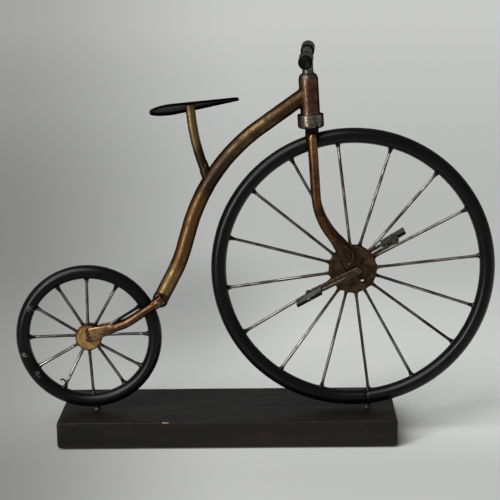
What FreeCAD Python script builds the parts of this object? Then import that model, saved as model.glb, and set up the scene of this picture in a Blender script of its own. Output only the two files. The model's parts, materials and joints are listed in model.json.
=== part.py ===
import FreeCAD, Part
import math
import os

# Table model of a penny farthing bicycle on a wooden plinth, in millimetres.
# +X is towards the bicycle's front, +Y its left side, +Z up. The origin is on the
# surface it stands on, below the middle of the whole object.

os.makedirs("parts", exist_ok=True)
V = FreeCAD.Vector
Y_AXIS = V(0, 1, 0)
SIDES = (("right", -1), ("left", 1))

# plinth
PLINTH_LENGTH = 380.0
PLINTH_DEPTH = 125.0
PLINTH_HEIGHT = 30.0
PLINTH_EDGE = 1.6
PLINTH_BEHIND_FRONT_AXLE = 142.3
PLINTH_SHIFT_LEFT = 11.0
FOOT_DIAMETER = 18.0
FOOT_HEIGHT = 1.5
FOOT_INSET = 20.0
PLINTH_TOP = FOOT_HEIGHT + PLINTH_HEIGHT

# wheels: rings of round tube, held just above the plinth by short studs
FRONT_RING_RADIUS = 150.0
FRONT_RING_TUBE = 17.0
REAR_RING_RADIUS = 75.0
REAR_RING_TUBE = 15.5
RING_GAP = 3.0
WHEELBASE = 298.5
STUD_DIAMETER = 6.5
FRONT_STUD_AHEAD = 16.6
REAR_STUD_AHEAD = 6.1

FRONT_OUTER = FRONT_RING_RADIUS + FRONT_RING_TUBE / 2
REAR_OUTER = REAR_RING_RADIUS + REAR_RING_TUBE / 2
FRONT_X = (WHEELBASE + REAR_OUTER - FRONT_OUTER) / 2
REAR_X = FRONT_X - WHEELBASE
FRONT_Z = PLINTH_TOP + RING_GAP + FRONT_OUTER
REAR_Z = PLINTH_TOP + RING_GAP + REAR_OUTER
FRONT_HUB = (FRONT_X, FRONT_Z)
REAR_HUB = (REAR_X, REAR_Z)
PLINTH_X = FRONT_X - PLINTH_BEHIND_FRONT_AXLE

# hubs and spokes: each hub is two discs, and the spokes go to them by turns
SPOKE_DIAMETER = 3.3
RIM_FLARE = 8.0
RIM_FLARE_LENGTH = 6.0
FRONT_DISC_RADIUS = 26.8
REAR_DISC_RADIUS = 14.9
DISC_THICKNESS = 2.2
FRONT_HUB_WIDTH = 10.0
REAR_HUB_WIDTH = 12.5
FRONT_BARREL_DIAMETER = 20.0
REAR_BARREL_DIAMETER = 12.0
FRONT_AXLE_DIAMETER = 7.0
REAR_AXLE_DIAMETER = 5.0
FRONT_WEB_WIDTH = 8.6
REAR_WEB_WIDTH = 6.4
WEB_LENGTH = 5.0
HUB_HOLE_DIAMETER = 4.6
HUB_HOLE_AHEAD = 10.8
HUB_HOLE_BELOW = 13.7

# bearings of the first spokes, clockwise from straight up as seen from the right, and how
# far each hand-set spoke stands off its even place, all in degrees
FRONT_FIRST_ANGLE = -6.6
FRONT_SPOKE_ANGLES = (
    0, 1.3, 2.4, 1.3, 1.1, 2.1, -1, 0.9, -0.6, -1.4, -3.4, -1.4, -1.7, -0.9, 0.6, 0.6,
)
REAR_FIRST_ANGLE = -1.2
REAR_SPOKE_ANGLES = (0.8, 0.7, 0.4, -1.2, 2.2, -3.6, -1.2, -2.1, 0.7, 1, 1.4, 1)

# head: parts turned about the raked steering axis, heights measured along it
HEAD_BEHIND_FRONT_AXLE = 48.375
HEAD_RAKE = 3.0
HEAD_TUBE_DIAMETER = 21.5
HEAD_TUBE_LENGTH = 48.5
CAP_HEIGHT = 6.5
CAP_ROUND = 4.0
CUP_DIAMETER = 28.7
CUP_WALL = 2.2
CUP_FLOOR = 4.0
CUP_HEIGHT = 15.2
CUP_CHAMFER = 1.8
CUP_ABOVE_RING = 0.5
STEM_DIAMETER = 12.6
BAR_ABOVE_HEAD = 27.5
BAR_DIAMETER = 10.5
BAR_LENGTH = 166.0
BAR_TURN = 2.1
BAR_TILT = 0.9
GRIP_DIAMETER = 15.6
GRIP_LENGTH = 44.0
GRIP_END = 2.5
GRIP_ROUND = 1.4
GRIP_DIMPLE = 1.0
HEAD_X = FRONT_X - HEAD_BEHIND_FRONT_AXLE
HEAD_Z = FRONT_Z + FRONT_OUTER + CUP_ABOVE_RING + CUP_FLOOR + HEAD_TUBE_LENGTH


def moved(place, by):
    """Place of the side view, X and Z, moved by so much ahead and up."""
    return (place[0] + by[0], place[1] + by[1])


# backbone tube: a straight run, a long arch and a slight bend back to the rear crown
BACKBONE_DIAMETER = 17.5
BACKBONE_BELOW_HEAD = 13.7
BACKBONE_ARCH_RADIUS = 208.0
BACKBONE_KICK_RADIUS = 150.0
REAR_CROWN_DIAMETER = 17.6
REAR_CROWN_ROUND = 3.0
ARCH_FROM_HEAD = (-112.0, -92.3)
CROWN_FROM_REAR_HUB = (82.625, 43.25)
KICK_FROM_CROWN = (22.9, 43.1)
BACKBONE_TOP = (HEAD_X, HEAD_Z - BACKBONE_BELOW_HEAD)
BACKBONE_ARCH = moved((HEAD_X, HEAD_Z), ARCH_FROM_HEAD)
REAR_CROWN = moved(REAR_HUB, CROWN_FROM_REAR_HUB)
BACKBONE_KICK = moved(REAR_CROWN, KICK_FROM_CROWN)

# saddle and its post, which stands on the backbone's arch
POST_DIAMETER = 10.5
POST_BEND_RADIUS = 220.0
POST_TOP_BEHIND_ARCH = 17.8
POST_BEND_FROM_ARCH = (-14.2, 29.2)
POST_FOOT_FROM_ARCH = (1.4, -19.3)
SADDLE_REAR_FROM_ARCH = (-61.85, 59.7)
SADDLE_NOSE_FROM_ARCH = (34.9, 73.9)
SADDLE_ROLL = 17.0
SADDLE_WIDTH = 50.0
SADDLE_NOSE_WIDTH = 9.0
SADDLE_DEPTH = 3.2
SADDLE_SKIN = 1.4
SADDLE_ROUND = 1.6
POST_BEND = moved(BACKBONE_ARCH, POST_BEND_FROM_ARCH)
POST_FOOT = moved(BACKBONE_ARCH, POST_FOOT_FROM_ARCH)
SADDLE_REAR = moved(BACKBONE_ARCH, SADDLE_REAR_FROM_ARCH)
SADDLE_NOSE = moved(BACKBONE_ARCH, SADDLE_NOSE_FROM_ARCH)

# front fork: round blades outside the ring, pressed flat at the axle
BLADE_DIAMETER = 10.5
BLADE_OFFSET = 14.5
BLADE_AHEAD_OF_HEAD = 3.7
BLADE_TOP_BELOW_RING = 8.7
BLADE_BEND_RADIUS = 80.0
BLADE_PRESS_LENGTH = 22.0
BLADE_END_WIDTH = 15.0
BLADE_END_THICKNESS = 4.5
CROWN_WIDTH = 14.2
CROWN_CHEEK = 13.5
CROWN_GAP = 0.8
CROWN_BELOW_RING = 12.5
BLADE_BEND_FROM_HUB = (-39.675, 62.0)
BLADE_PRESS_FROM_HUB = (-22.975, 39.3)
BLADE_TOP = (HEAD_X + BLADE_AHEAD_OF_HEAD, FRONT_Z + FRONT_OUTER - BLADE_TOP_BELOW_RING)
BLADE_BEND = moved(FRONT_HUB, BLADE_BEND_FROM_HUB)
BLADE_PRESS_START = moved(FRONT_HUB, BLADE_PRESS_FROM_HUB)
CROWN_BOTTOM = FRONT_Z + FRONT_OUTER - CROWN_BELOW_RING

# rear fork: hand-bent stays outside the ring, pressed to fans that end at the axle's lugs
STAY_DIAMETER = 9.6
STAY_OFFSET = 12.9
STAY_BEND_RADIUS = 50.0
STAY_PRESS_LENGTH = 8.0
STAY_FAN_ROOT = 11.0
STAY_FAN_WIDTH = 16.0
STAY_END_THICKNESS = 3.4
AXLE_LUG_WIDTH = 6.0
AXLE_LUG_LENGTH = 11.0

# each stay's route: its foot below the crown's middle, then places from the rear hub
RIGHT_STAY_DROP = 0.0
RIGHT_STAY_BEND = (42.5, 16.2)
RIGHT_STAY_END = (3.2, 4.9)
LEFT_STAY_DROP = 4.0
LEFT_STAY_BEND = (42.5, 12.4)
LEFT_STAY_END = (3.2, 2.0)
STAY_PRESS_BEFORE_END = 31.0

# cranks and pedals
CRANK_RADIUS = 55.0
RIGHT_CRANK_ANGLE = 206.0
LEFT_CRANK_ANGLE = 31.0
CRANK_WIDTH = 8.0
CRANK_THICKNESS = 3.6
CRANK_SLOT = 1.5
CRANK_SLOT_START = 10.0
CRANK_PAST_AXLE = 9.0
CRANK_EYE_DIAMETER = 11.5
CRANK_CLEARANCE = 1.2
SPINDLE_DIAMETER = 2.4
SPINDLE_CLEARANCE = 0.05
SPINDLE_HEAD_DIAMETER = 4.2
SPINDLE_HEAD_THICKNESS = 0.9
PEDAL_LENGTH = 31.0
PEDAL_WIDTH = 22.0
PEDAL_THICKNESS = 4.0
PEDAL_ROUND = 0.8
PEDAL_GAP = 0.5
PEDAL_RIB_COUNT = 9
PEDAL_RIB_DEPTH = 0.5
PEDAL_RIB_GROOVE = 1.3
CRANK_INNER = BLADE_OFFSET + BLADE_END_THICKNESS / 2 + CRANK_CLEARANCE
CRANK_OUTER = CRANK_INNER + CRANK_THICKNESS
PEDAL_INNER = CRANK_OUTER + PEDAL_GAP
PEDAL_OUTER = PEDAL_INNER + PEDAL_WIDTH

# how far a trimmed end runs into its neighbour before the cut
REACH = 10.0


def at(place, y=0.0):
    """Point of the side view, given as X and Z, at one Y."""
    return V(place[0], y, place[1])


def beyond(before, place, length):
    """Place in the side view further along the line from one place through another."""
    onward = (at(place) - at(before)).normalize() * length
    return (place[0] + onward.x, place[1] + onward.z)


def rod(start, end, diameter):
    return Part.makeCylinder(diameter / 2, (end - start).Length, start, end - start)


def across(place, y0, y1, diameter):
    """Round bar along Y from y0 to y1."""
    return rod(at(place, min(y0, y1)), at(place, max(y0, y1)), diameter)


def bent_path(points, radii):
    """Wire of straight runs joined by tangent arcs, one radius for each inner point."""
    edges = []
    start = points[0]
    for before, corner, after, radius in zip(points, points[1:], points[2:], radii):
        inward = (before - corner).normalize()
        onward = (after - corner).normalize()
        half_turn = (math.pi - inward.getAngle(onward)) / 2
        tangent = radius * math.tan(half_turn)
        centre_way = (inward + onward).normalize()
        middle = corner + centre_way * (radius / math.cos(half_turn) - radius)
        edges.append(Part.LineSegment(start, corner + inward * tangent).toShape())
        edges.append(Part.Arc(corner + inward * tangent, middle, corner + onward * tangent).toShape())
        start = corner + onward * tangent
    edges.append(Part.LineSegment(start, points[-1]).toShape())
    return Part.Wire(edges)


def tube(points, radii, diameter):
    path = bent_path(points, radii)
    circle = Part.Wire(Part.makeCircle(diameter / 2, points[0], points[1] - points[0]))
    return path.makePipeShell([circle], True, False)


def turned(profile, base, direction):
    """Solid of revolution: profile holds radius and height pairs along direction from base."""
    corners = [V(radius, 0, height) for radius, height in profile]
    face = Part.Face(Part.makePolygon(corners + corners[:1]))
    solid = face.revolve(V(0, 0, 0), V(0, 0, 1), 360)
    solid.Placement = FreeCAD.Placement(base, FreeCAD.Rotation(V(0, 0, 1), direction))
    return solid


def plate(corners, y_middle, thickness):
    """Flat plate parallel to the wheels, from a side-view outline."""
    outline = [at(corner, y_middle - thickness / 2) for corner in corners]
    return Part.Face(Part.makePolygon(outline + outline[:1])).extrude(V(0, thickness, 0))


def stadium(start, end, width, y, thickness):
    """Flat bar with round ends between two points of the side view."""
    onward = (at(end) - at(start)).normalize()
    wide = onward.cross(Y_AXIS) * (width / 2)
    corners = [at(start) + wide, at(end) + wide, at(end) - wide, at(start) - wide]
    inner = y - thickness / 2
    outer = y + thickness / 2
    bar = plate([(corner.x, corner.z) for corner in corners], y, thickness)
    return bar.multiFuse([across(start, inner, outer, width), across(end, inner, outer, width)])


def oval(centre, wide_way, width, thickness):
    """Closed wire of four arcs, thick along Y: a circle where width and thickness are equal."""
    eighth = math.sqrt(0.5)
    corner_wide = wide_way * (width / 2 - (1 - eighth) * thickness / 2)
    corner_thick = Y_AXIS * (eighth * thickness / 2)
    tip = wide_way * (width / 2)
    side = Y_AXIS * (thickness / 2)
    corners = [corner_wide + corner_thick, corner_thick - corner_wide,
               corner_wide * -1 - corner_thick, corner_wide - corner_thick]
    middles = [side, tip * -1, side * -1, tip]
    edges = []
    for index, middle in enumerate(middles):
        start = centre + corners[index]
        end = centre + corners[(index + 1) % 4]
        edges.append(Part.Arc(start, centre + middle, end).toShape())
    return Part.Wire(edges)


def pressed(start, end, y, diameter, width, thickness):
    """The stretch where a round tube is pressed to a wide flat oval."""
    onward = (at(end) - at(start)).normalize()
    wide_way = onward.cross(Y_AXIS)
    round_end = oval(at(start, y), wide_way, diameter, diameter)
    flat_end = oval(at(end, y), wide_way, width, thickness)
    return Part.makeLoft([round_end, flat_end], True, True)


def head_point(height):
    """Point on the steering axis, height measured along it from the head tube's top."""
    rake = math.radians(HEAD_RAKE)
    return V(HEAD_X - height * math.sin(rake), 0, HEAD_Z + height * math.cos(rake))


HEAD_UP = (head_point(1) - head_point(0)).normalize()


def make_plinth():
    corner = V(PLINTH_X - PLINTH_LENGTH / 2, PLINTH_SHIFT_LEFT - PLINTH_DEPTH / 2, FOOT_HEIGHT)
    block = Part.makeBox(PLINTH_LENGTH, PLINTH_DEPTH, PLINTH_HEIGHT, corner)
    return block.makeFillet(PLINTH_EDGE, block.Edges)


def make_feet():
    across_x = PLINTH_LENGTH / 2 - FOOT_INSET
    across_y = PLINTH_DEPTH / 2 - FOOT_INSET
    feet = []
    for x_way, y_way in ((-1, -1), (-1, 1), (1, -1), (1, 1)):
        place = V(PLINTH_X + x_way * across_x, PLINTH_SHIFT_LEFT + y_way * across_y, 0)
        feet.append(Part.makeCylinder(FOOT_DIAMETER / 2, FOOT_HEIGHT, place))
    return Part.makeCompound(feet)


def make_ring(hub, radius, tube_diameter):
    return Part.makeTorus(radius, tube_diameter / 2, at(hub), Y_AXIS)


def make_stud(hub, ahead, ring):
    foot = V(hub[0] + ahead, 0, PLINTH_TOP)
    post = Part.makeCylinder(STUD_DIAMETER / 2, RING_GAP + REACH, foot)
    return post.cut(ring).Solids[0]


def spoke_ways(side, first, shifts):
    """Directions of every second spoke: the even ones go to the right disc."""
    for index in range(0 if side < 0 else 1, len(shifts), 2):
        bearing = math.radians(first + 360.0 * index / len(shifts) + shifts[index])
        yield V(math.sin(bearing), 0, math.cos(bearing))


def make_disc(hub, side, radius, hub_width, bore, web_width, first, shifts):
    """Hub disc with a tapered web at the root of each of its spokes."""
    y = side * (hub_width - DISC_THICKNESS) / 2
    inner = side * (hub_width / 2 - DISC_THICKNESS)
    outer = side * hub_width / 2
    disc = across(hub, inner, outer, 2 * radius)
    limit = across(hub, inner, outer, 2 * (radius + WEB_LENGTH))
    webs = []
    for way in spoke_ways(side, first, shifts):
        aside = way.cross(Y_AXIS)
        root = at(hub) + way * (radius - DISC_THICKNESS)
        tip = at(hub) + way * (radius + WEB_LENGTH + SPOKE_DIAMETER)
        wide = aside * (web_width / 2)
        narrow = aside * (SPOKE_DIAMETER / 2)
        corners = [root + wide, tip + narrow, tip - narrow, root - wide]
        web = plate([(corner.x, corner.z) for corner in corners], y, DISC_THICKNESS)
        webs.append(web.common(limit))
    disc = disc.multiFuse(webs).removeSplitter()
    return disc.cut(across(hub, -hub_width, hub_width, bore))


def make_barrel(hub, hub_width, diameter, bore):
    half = hub_width / 2 - DISC_THICKNESS
    return across(hub, -half, half, diameter).cut(across(hub, -half, half, bore))


def spoke_profile(length):
    """Round wire with a flare of weld at the rim."""
    thin = SPOKE_DIAMETER / 2
    rim = RIM_FLARE / 2
    flare_start = length - RIM_FLARE_LENGTH - REACH
    return ((0, 0), (thin, 0), (thin, flare_start), (rim, length - REACH), (rim, length), (0, length))


def make_spokes(hub, side, ways, disc_radius, hub_width, ring_radius, ring_tube, ring):
    """Every second spoke of a wheel, from the webs of one hub disc to the ring."""
    start_y = side * (hub_width - DISC_THICKNESS) / 2
    hub_space = across(hub, -hub_width, hub_width, 2 * (disc_radius + WEB_LENGTH))
    spokes = []
    for way in ways:
        start = at(hub, start_y) + way * disc_radius
        end = at(hub) + way * ring_radius
        length = (end - start).Length + REACH - ring_tube / 2
        wire = turned(spoke_profile(length), start, end - start)
        spokes.append(wire.cut([ring, hub_space]).Solids[0])
    return Part.makeCompound(spokes)


def make_head_tube():
    base = head_point(-HEAD_TUBE_LENGTH)
    return Part.makeCylinder(HEAD_TUBE_DIAMETER / 2, HEAD_TUBE_LENGTH, base, HEAD_UP)


def make_head_cap():
    cap = Part.makeCylinder(HEAD_TUBE_DIAMETER / 2, CAP_HEIGHT, V(0, 0, 0))
    top = [edge for edge in cap.Edges if edge.BoundBox.ZMin > CAP_HEIGHT - 0.1]
    cap = cap.makeFillet(CAP_ROUND, top)
    cap.Placement = FreeCAD.Placement(head_point(0), FreeCAD.Rotation(V(0, 0, 1), HEAD_UP))
    return cap


def make_cup():
    outer = CUP_DIAMETER / 2
    inner = outer - CUP_WALL
    profile = (
        (0, -CUP_FLOOR), (outer - CUP_CHAMFER, -CUP_FLOOR), (outer, CUP_CHAMFER - CUP_FLOOR),
        (outer, CUP_HEIGHT - CUP_FLOOR), (inner, CUP_HEIGHT - CUP_FLOOR), (inner, 0), (0, 0),
    )
    return turned(profile, head_point(-HEAD_TUBE_LENGTH), HEAD_UP)


def bar_way():
    turn = math.radians(BAR_TURN)
    tilt = math.radians(BAR_TILT)
    return V(math.sin(turn), math.cos(turn), math.sin(tilt)).normalize()


def bar_middle():
    return head_point(BAR_ABOVE_HEAD / math.cos(math.radians(HEAD_RAKE)))


def make_handlebar():
    half = bar_way() * (BAR_LENGTH / 2)
    return rod(bar_middle() - half, bar_middle() + half, BAR_DIAMETER)


def make_stem(bar):
    start = head_point(CAP_HEIGHT)
    stem = rod(start, bar_middle(), STEM_DIAMETER)
    return stem.cut(bar).Solids[0]


def make_grip(side):
    """Sleeve over the bar's end, closed, with a shallow dimple in its outer face."""
    outer = GRIP_DIAMETER / 2
    bore = BAR_DIAMETER / 2
    full = GRIP_LENGTH + GRIP_END
    profile = (
        (bore, 0), (outer - GRIP_ROUND, 0), (outer, GRIP_ROUND), (outer, full - GRIP_ROUND),
        (outer - GRIP_ROUND, full), (bore, full), (bore - GRIP_DIMPLE, full - GRIP_DIMPLE),
        (0, full - GRIP_DIMPLE), (0, GRIP_LENGTH), (bore, GRIP_LENGTH),
    )
    start = bar_middle() + bar_way() * (side * (BAR_LENGTH / 2 - GRIP_LENGTH))
    return turned(profile, start, bar_way() * side)


def make_backbone(head_tube, cup, rear_crown):
    points = [at(BACKBONE_TOP), at(BACKBONE_ARCH), at(BACKBONE_KICK), at(REAR_CROWN)]
    whole = tube(points, [BACKBONE_ARCH_RADIUS, BACKBONE_KICK_RADIUS], BACKBONE_DIAMETER)
    rest = whole.cut([head_tube, cup, rear_crown])
    return max(rest.Solids, key=lambda solid: solid.Volume)


def make_rear_crown():
    half = STAY_OFFSET + STAY_DIAMETER / 4
    bar = across(REAR_CROWN, -half, half, REAR_CROWN_DIAMETER)
    rims = [edge for edge in bar.Edges if edge.BoundBox.YLength < 0.1]
    return bar.makeFillet(REAR_CROWN_ROUND, rims)


def saddle_outline(length, inset):
    """Teardrop face, rear tip at the origin: a wide round back and a narrow round nose."""
    back = SADDLE_WIDTH / 2 - inset
    nose = SADDLE_NOSE_WIDTH / 2 - inset
    back_centre = V(SADDLE_WIDTH / 2, 0, 0)
    nose_centre = V(length - SADDLE_NOSE_WIDTH / 2, 0, 0)
    lean = math.asin((back - nose) / (nose_centre.x - back_centre.x))
    left = V(math.sin(lean), math.cos(lean), 0)
    right = V(left.x, -left.y, 0)
    tail = V(-back, 0, 0)
    edges = [
        Part.Arc(back_centre + right * back, back_centre + tail, back_centre + left * back),
        Part.LineSegment(back_centre + left * back, nose_centre + left * nose),
        Part.Arc(nose_centre + left * nose, nose_centre + V(nose, 0, 0), nose_centre + right * nose),
        Part.LineSegment(nose_centre + right * nose, back_centre + right * back),
    ]
    return Part.Face(Part.Wire([edge.toShape() for edge in edges]))


def make_saddle():
    """Sheet pan with a turned-down edge, nose up and leaning to the left."""
    along = at(SADDLE_NOSE) - at(SADDLE_REAR)
    pan = saddle_outline(along.Length, 0).extrude(V(0, 0, -SADDLE_DEPTH))
    top_edges = [edge for edge in pan.Edges if edge.BoundBox.ZMin > -SADDLE_SKIN]
    pan = pan.makeFillet(SADDLE_ROUND, top_edges)
    hollow = saddle_outline(along.Length, SADDLE_SKIN).extrude(V(0, 0, -SADDLE_DEPTH))
    hollow.translate(V(0, 0, -SADDLE_SKIN))
    pan = pan.cut(hollow)
    nose_up = math.degrees(math.atan2(along.z, along.x))
    turn = FreeCAD.Rotation(Y_AXIS, -nose_up) * FreeCAD.Rotation(V(1, 0, 0), -SADDLE_ROLL)
    pan.Placement = FreeCAD.Placement(at(SADDLE_REAR), turn)
    return pan


def make_post(saddle, backbone):
    top = (BACKBONE_ARCH[0] - POST_TOP_BEHIND_ARCH, SADDLE_NOSE[1])
    points = [at(top), at(POST_BEND), at(POST_FOOT)]
    whole = tube(points, [POST_BEND_RADIUS], POST_DIAMETER).cut([saddle, backbone])
    return max(whole.Solids, key=lambda solid: solid.Volume)


def make_blade(side):
    y = side * BLADE_OFFSET
    points = [at(place, y) for place in (BLADE_TOP, BLADE_BEND, BLADE_PRESS_START)]
    press_end = beyond(BLADE_BEND, BLADE_PRESS_START, BLADE_PRESS_LENGTH)
    flat = BLADE_END_THICKNESS
    pieces = [
        Part.makeSphere(BLADE_DIAMETER / 2, points[0]),
        pressed(BLADE_PRESS_START, press_end, y, BLADE_DIAMETER, BLADE_END_WIDTH, flat),
        stadium(press_end, FRONT_HUB, BLADE_END_WIDTH, y, flat),
    ]
    blade = tube(points, [BLADE_BEND_RADIUS], BLADE_DIAMETER).multiFuse(pieces).removeSplitter()
    return blade.cut(across(FRONT_HUB, y - flat, y + flat, FRONT_AXLE_DIAMETER))


def make_fork_crown(cup, blades):
    """Block below the cup with a slot that straddles the ring and cheeks that hold the blades."""
    x = head_point(-HEAD_TUBE_LENGTH - CUP_FLOOR).x + CROWN_GAP
    corner = V(x - CROWN_WIDTH / 2, -CROWN_CHEEK, CROWN_BOTTOM)
    height = HEAD_Z - HEAD_TUBE_LENGTH - CROWN_BOTTOM
    block = Part.makeBox(CROWN_WIDTH, 2 * CROWN_CHEEK, height, corner)
    half = FRONT_RING_TUBE / 2 + CROWN_GAP
    slot = across(FRONT_HUB, -half, half, 2 * (FRONT_OUTER + CROWN_GAP))
    below = block.cut(slot).cut(cup)
    for blade in blades:
        below = below.cut(blade)
    return max(below.Solids, key=lambda solid: solid.Volume)


def stay_route(side):
    """Places of one stay in the side view: its top in the crown, its bend and its fan's end."""
    drop, bend, end = RIGHT_STAY_DROP, RIGHT_STAY_BEND, RIGHT_STAY_END
    if side > 0:
        drop, bend, end = LEFT_STAY_DROP, LEFT_STAY_BEND, LEFT_STAY_END
    return moved(REAR_CROWN, (0, -drop)), moved(REAR_HUB, bend), moved(REAR_HUB, end)


def make_stay(side, rear_crown):
    """Tube bent near its foot, then pressed flat and spread to a fan that ends at the axle."""
    y = side * STAY_OFFSET
    top, bend, end = stay_route(side)
    press_start = beyond(bend, end, -STAY_PRESS_BEFORE_END)
    press_end = beyond(bend, press_start, STAY_PRESS_LENGTH)
    wide = (at(end) - at(press_end)).normalize().cross(Y_AXIS)
    flat = STAY_END_THICKNESS
    corners = [
        at(press_end) + wide * (STAY_FAN_ROOT / 2), at(end) + wide * (STAY_FAN_WIDTH / 2),
        at(end) - wide * (STAY_FAN_WIDTH / 2), at(press_end) - wide * (STAY_FAN_ROOT / 2),
    ]
    pieces = [
        pressed(press_start, press_end, y, STAY_DIAMETER, STAY_FAN_ROOT, flat),
        plate([(corner.x, corner.z) for corner in corners], y, flat),
        across(press_end, y - flat / 2, y + flat / 2, STAY_FAN_ROOT),
    ]
    points = [at(place, y) for place in (top, bend, press_start)]
    stay = tube(points, [STAY_BEND_RADIUS], STAY_DIAMETER).multiFuse(pieces).removeSplitter()
    return max(stay.cut(rear_crown).Solids, key=lambda solid: solid.Volume)


def make_rear_axle(stays):
    """Round bar whose two ends are beaten out to lugs behind the stays' fans."""
    half = STAY_OFFSET + STAY_END_THICKNESS / 2
    axle = across(REAR_HUB, -half, half, REAR_AXLE_DIAMETER)
    lugs = []
    for _, side in SIDES:
        _, bend, end = stay_route(side)
        middle = beyond(bend, end, AXLE_LUG_WIDTH / 4)
        way = (at(end) - at(bend)).normalize().cross(Y_AXIS) * (AXLE_LUG_LENGTH / 2)
        upper = moved(middle, (way.x, way.z))
        lower = moved(middle, (-way.x, -way.z))
        y = side * STAY_OFFSET
        lugs.append(stadium(upper, lower, AXLE_LUG_WIDTH, y, STAY_END_THICKNESS))
    axle = axle.multiFuse(lugs).removeSplitter().cut(stays)
    return max(axle.Solids, key=lambda solid: solid.Volume)


def crank_end(angle):
    turn = math.radians(angle)
    return moved(FRONT_HUB, (CRANK_RADIUS * math.cos(turn), CRANK_RADIUS * math.sin(turn)))


def make_crank(angle, side):
    """Doubled bar that runs past the axle, with an eye at the pedal, in one with its spindle."""
    eye = crank_end(angle)
    y = side * (CRANK_INNER + CRANK_OUTER) / 2
    inner_end = beyond(eye, FRONT_HUB, CRANK_PAST_AXLE - CRANK_WIDTH / 2)
    slot_start = beyond(eye, FRONT_HUB, -CRANK_SLOT_START)
    slot_end = beyond(FRONT_HUB, eye, -CRANK_EYE_DIAMETER / 2 - 2 * CRANK_SLOT)
    inner = side * CRANK_INNER
    outer = side * CRANK_OUTER
    head_start = side * (PEDAL_OUTER + PEDAL_GAP)
    head_end = head_start + side * SPINDLE_HEAD_THICKNESS
    bar = stadium(inner_end, eye, CRANK_WIDTH, y, CRANK_THICKNESS)
    bar = bar.multiFuse([
        across(eye, inner, outer, CRANK_EYE_DIAMETER),
        across(eye, inner, head_end, SPINDLE_DIAMETER),
        across(eye, head_start, head_end, SPINDLE_HEAD_DIAMETER),
    ]).removeSplitter()
    return bar.cut(stadium(slot_start, slot_end, CRANK_SLOT, y, 2 * CRANK_THICKNESS))


def make_pedal(angle, side):
    """Ribbed rubber block that turns on the crank's spindle, in line with the crank."""
    y = side * (PEDAL_INNER + PEDAL_OUTER) / 2
    corner = V(-PEDAL_LENGTH / 2, -PEDAL_WIDTH / 2, -PEDAL_THICKNESS / 2)
    block = Part.makeBox(PEDAL_LENGTH, PEDAL_WIDTH, PEDAL_THICKNESS, corner)
    block = block.makeFillet(PEDAL_ROUND, block.Edges)
    pitch = PEDAL_LENGTH / (PEDAL_RIB_COUNT + 1)
    grooves = []
    for face_z in (PEDAL_THICKNESS / 2, -PEDAL_THICKNESS / 2):
        for index in range(PEDAL_RIB_COUNT):
            x = (index + 1) * pitch - PEDAL_LENGTH / 2 - PEDAL_RIB_GROOVE / 2
            low = V(x, -PEDAL_WIDTH, face_z - PEDAL_RIB_DEPTH)
            grooves.append(Part.makeBox(PEDAL_RIB_GROOVE, 2 * PEDAL_WIDTH, 2 * PEDAL_RIB_DEPTH, low))
    bore = SPINDLE_DIAMETER + 2 * SPINDLE_CLEARANCE
    hole = rod(V(0, -PEDAL_WIDTH, 0), V(0, PEDAL_WIDTH, 0), bore)
    block = block.cut(grooves + [hole])
    turn = FreeCAD.Rotation(Y_AXIS, -angle)
    block.Placement = FreeCAD.Placement(at(crank_end(angle), y), turn)
    return block


def drill_hub(disc):
    """Small through hole beside the front axle."""
    place = moved(FRONT_HUB, (HUB_HOLE_AHEAD, -HUB_HOLE_BELOW))
    return disc.cut(across(place, -FRONT_HUB_WIDTH, FRONT_HUB_WIDTH, HUB_HOLE_DIAMETER))


def make_wheel(parts, name, hub, radius, ring_tube, stud_ahead, disc_radius, hub_width, barrel, bore,
               web_width, first, shifts):
    """Ring, stud, hub and spokes of one wheel."""
    ring = make_ring(hub, radius, ring_tube)
    parts[name + "_ring"] = ring
    parts[name + "_stud"] = make_stud(hub, stud_ahead, ring)
    parts[name + "_hub_barrel"] = make_barrel(hub, hub_width, barrel, bore)
    for side_name, side in SIDES:
        disc = make_disc(hub, side, disc_radius, hub_width, bore, web_width, first, shifts)
        if name == "front":
            disc = drill_hub(disc)
        parts[f"{name}_hub_disc_{side_name}"] = disc
        parts[f"{name}_spokes_{side_name}"] = make_spokes(
            hub, side, spoke_ways(side, first, shifts), disc_radius, hub_width, radius, ring_tube,
            ring)


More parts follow.
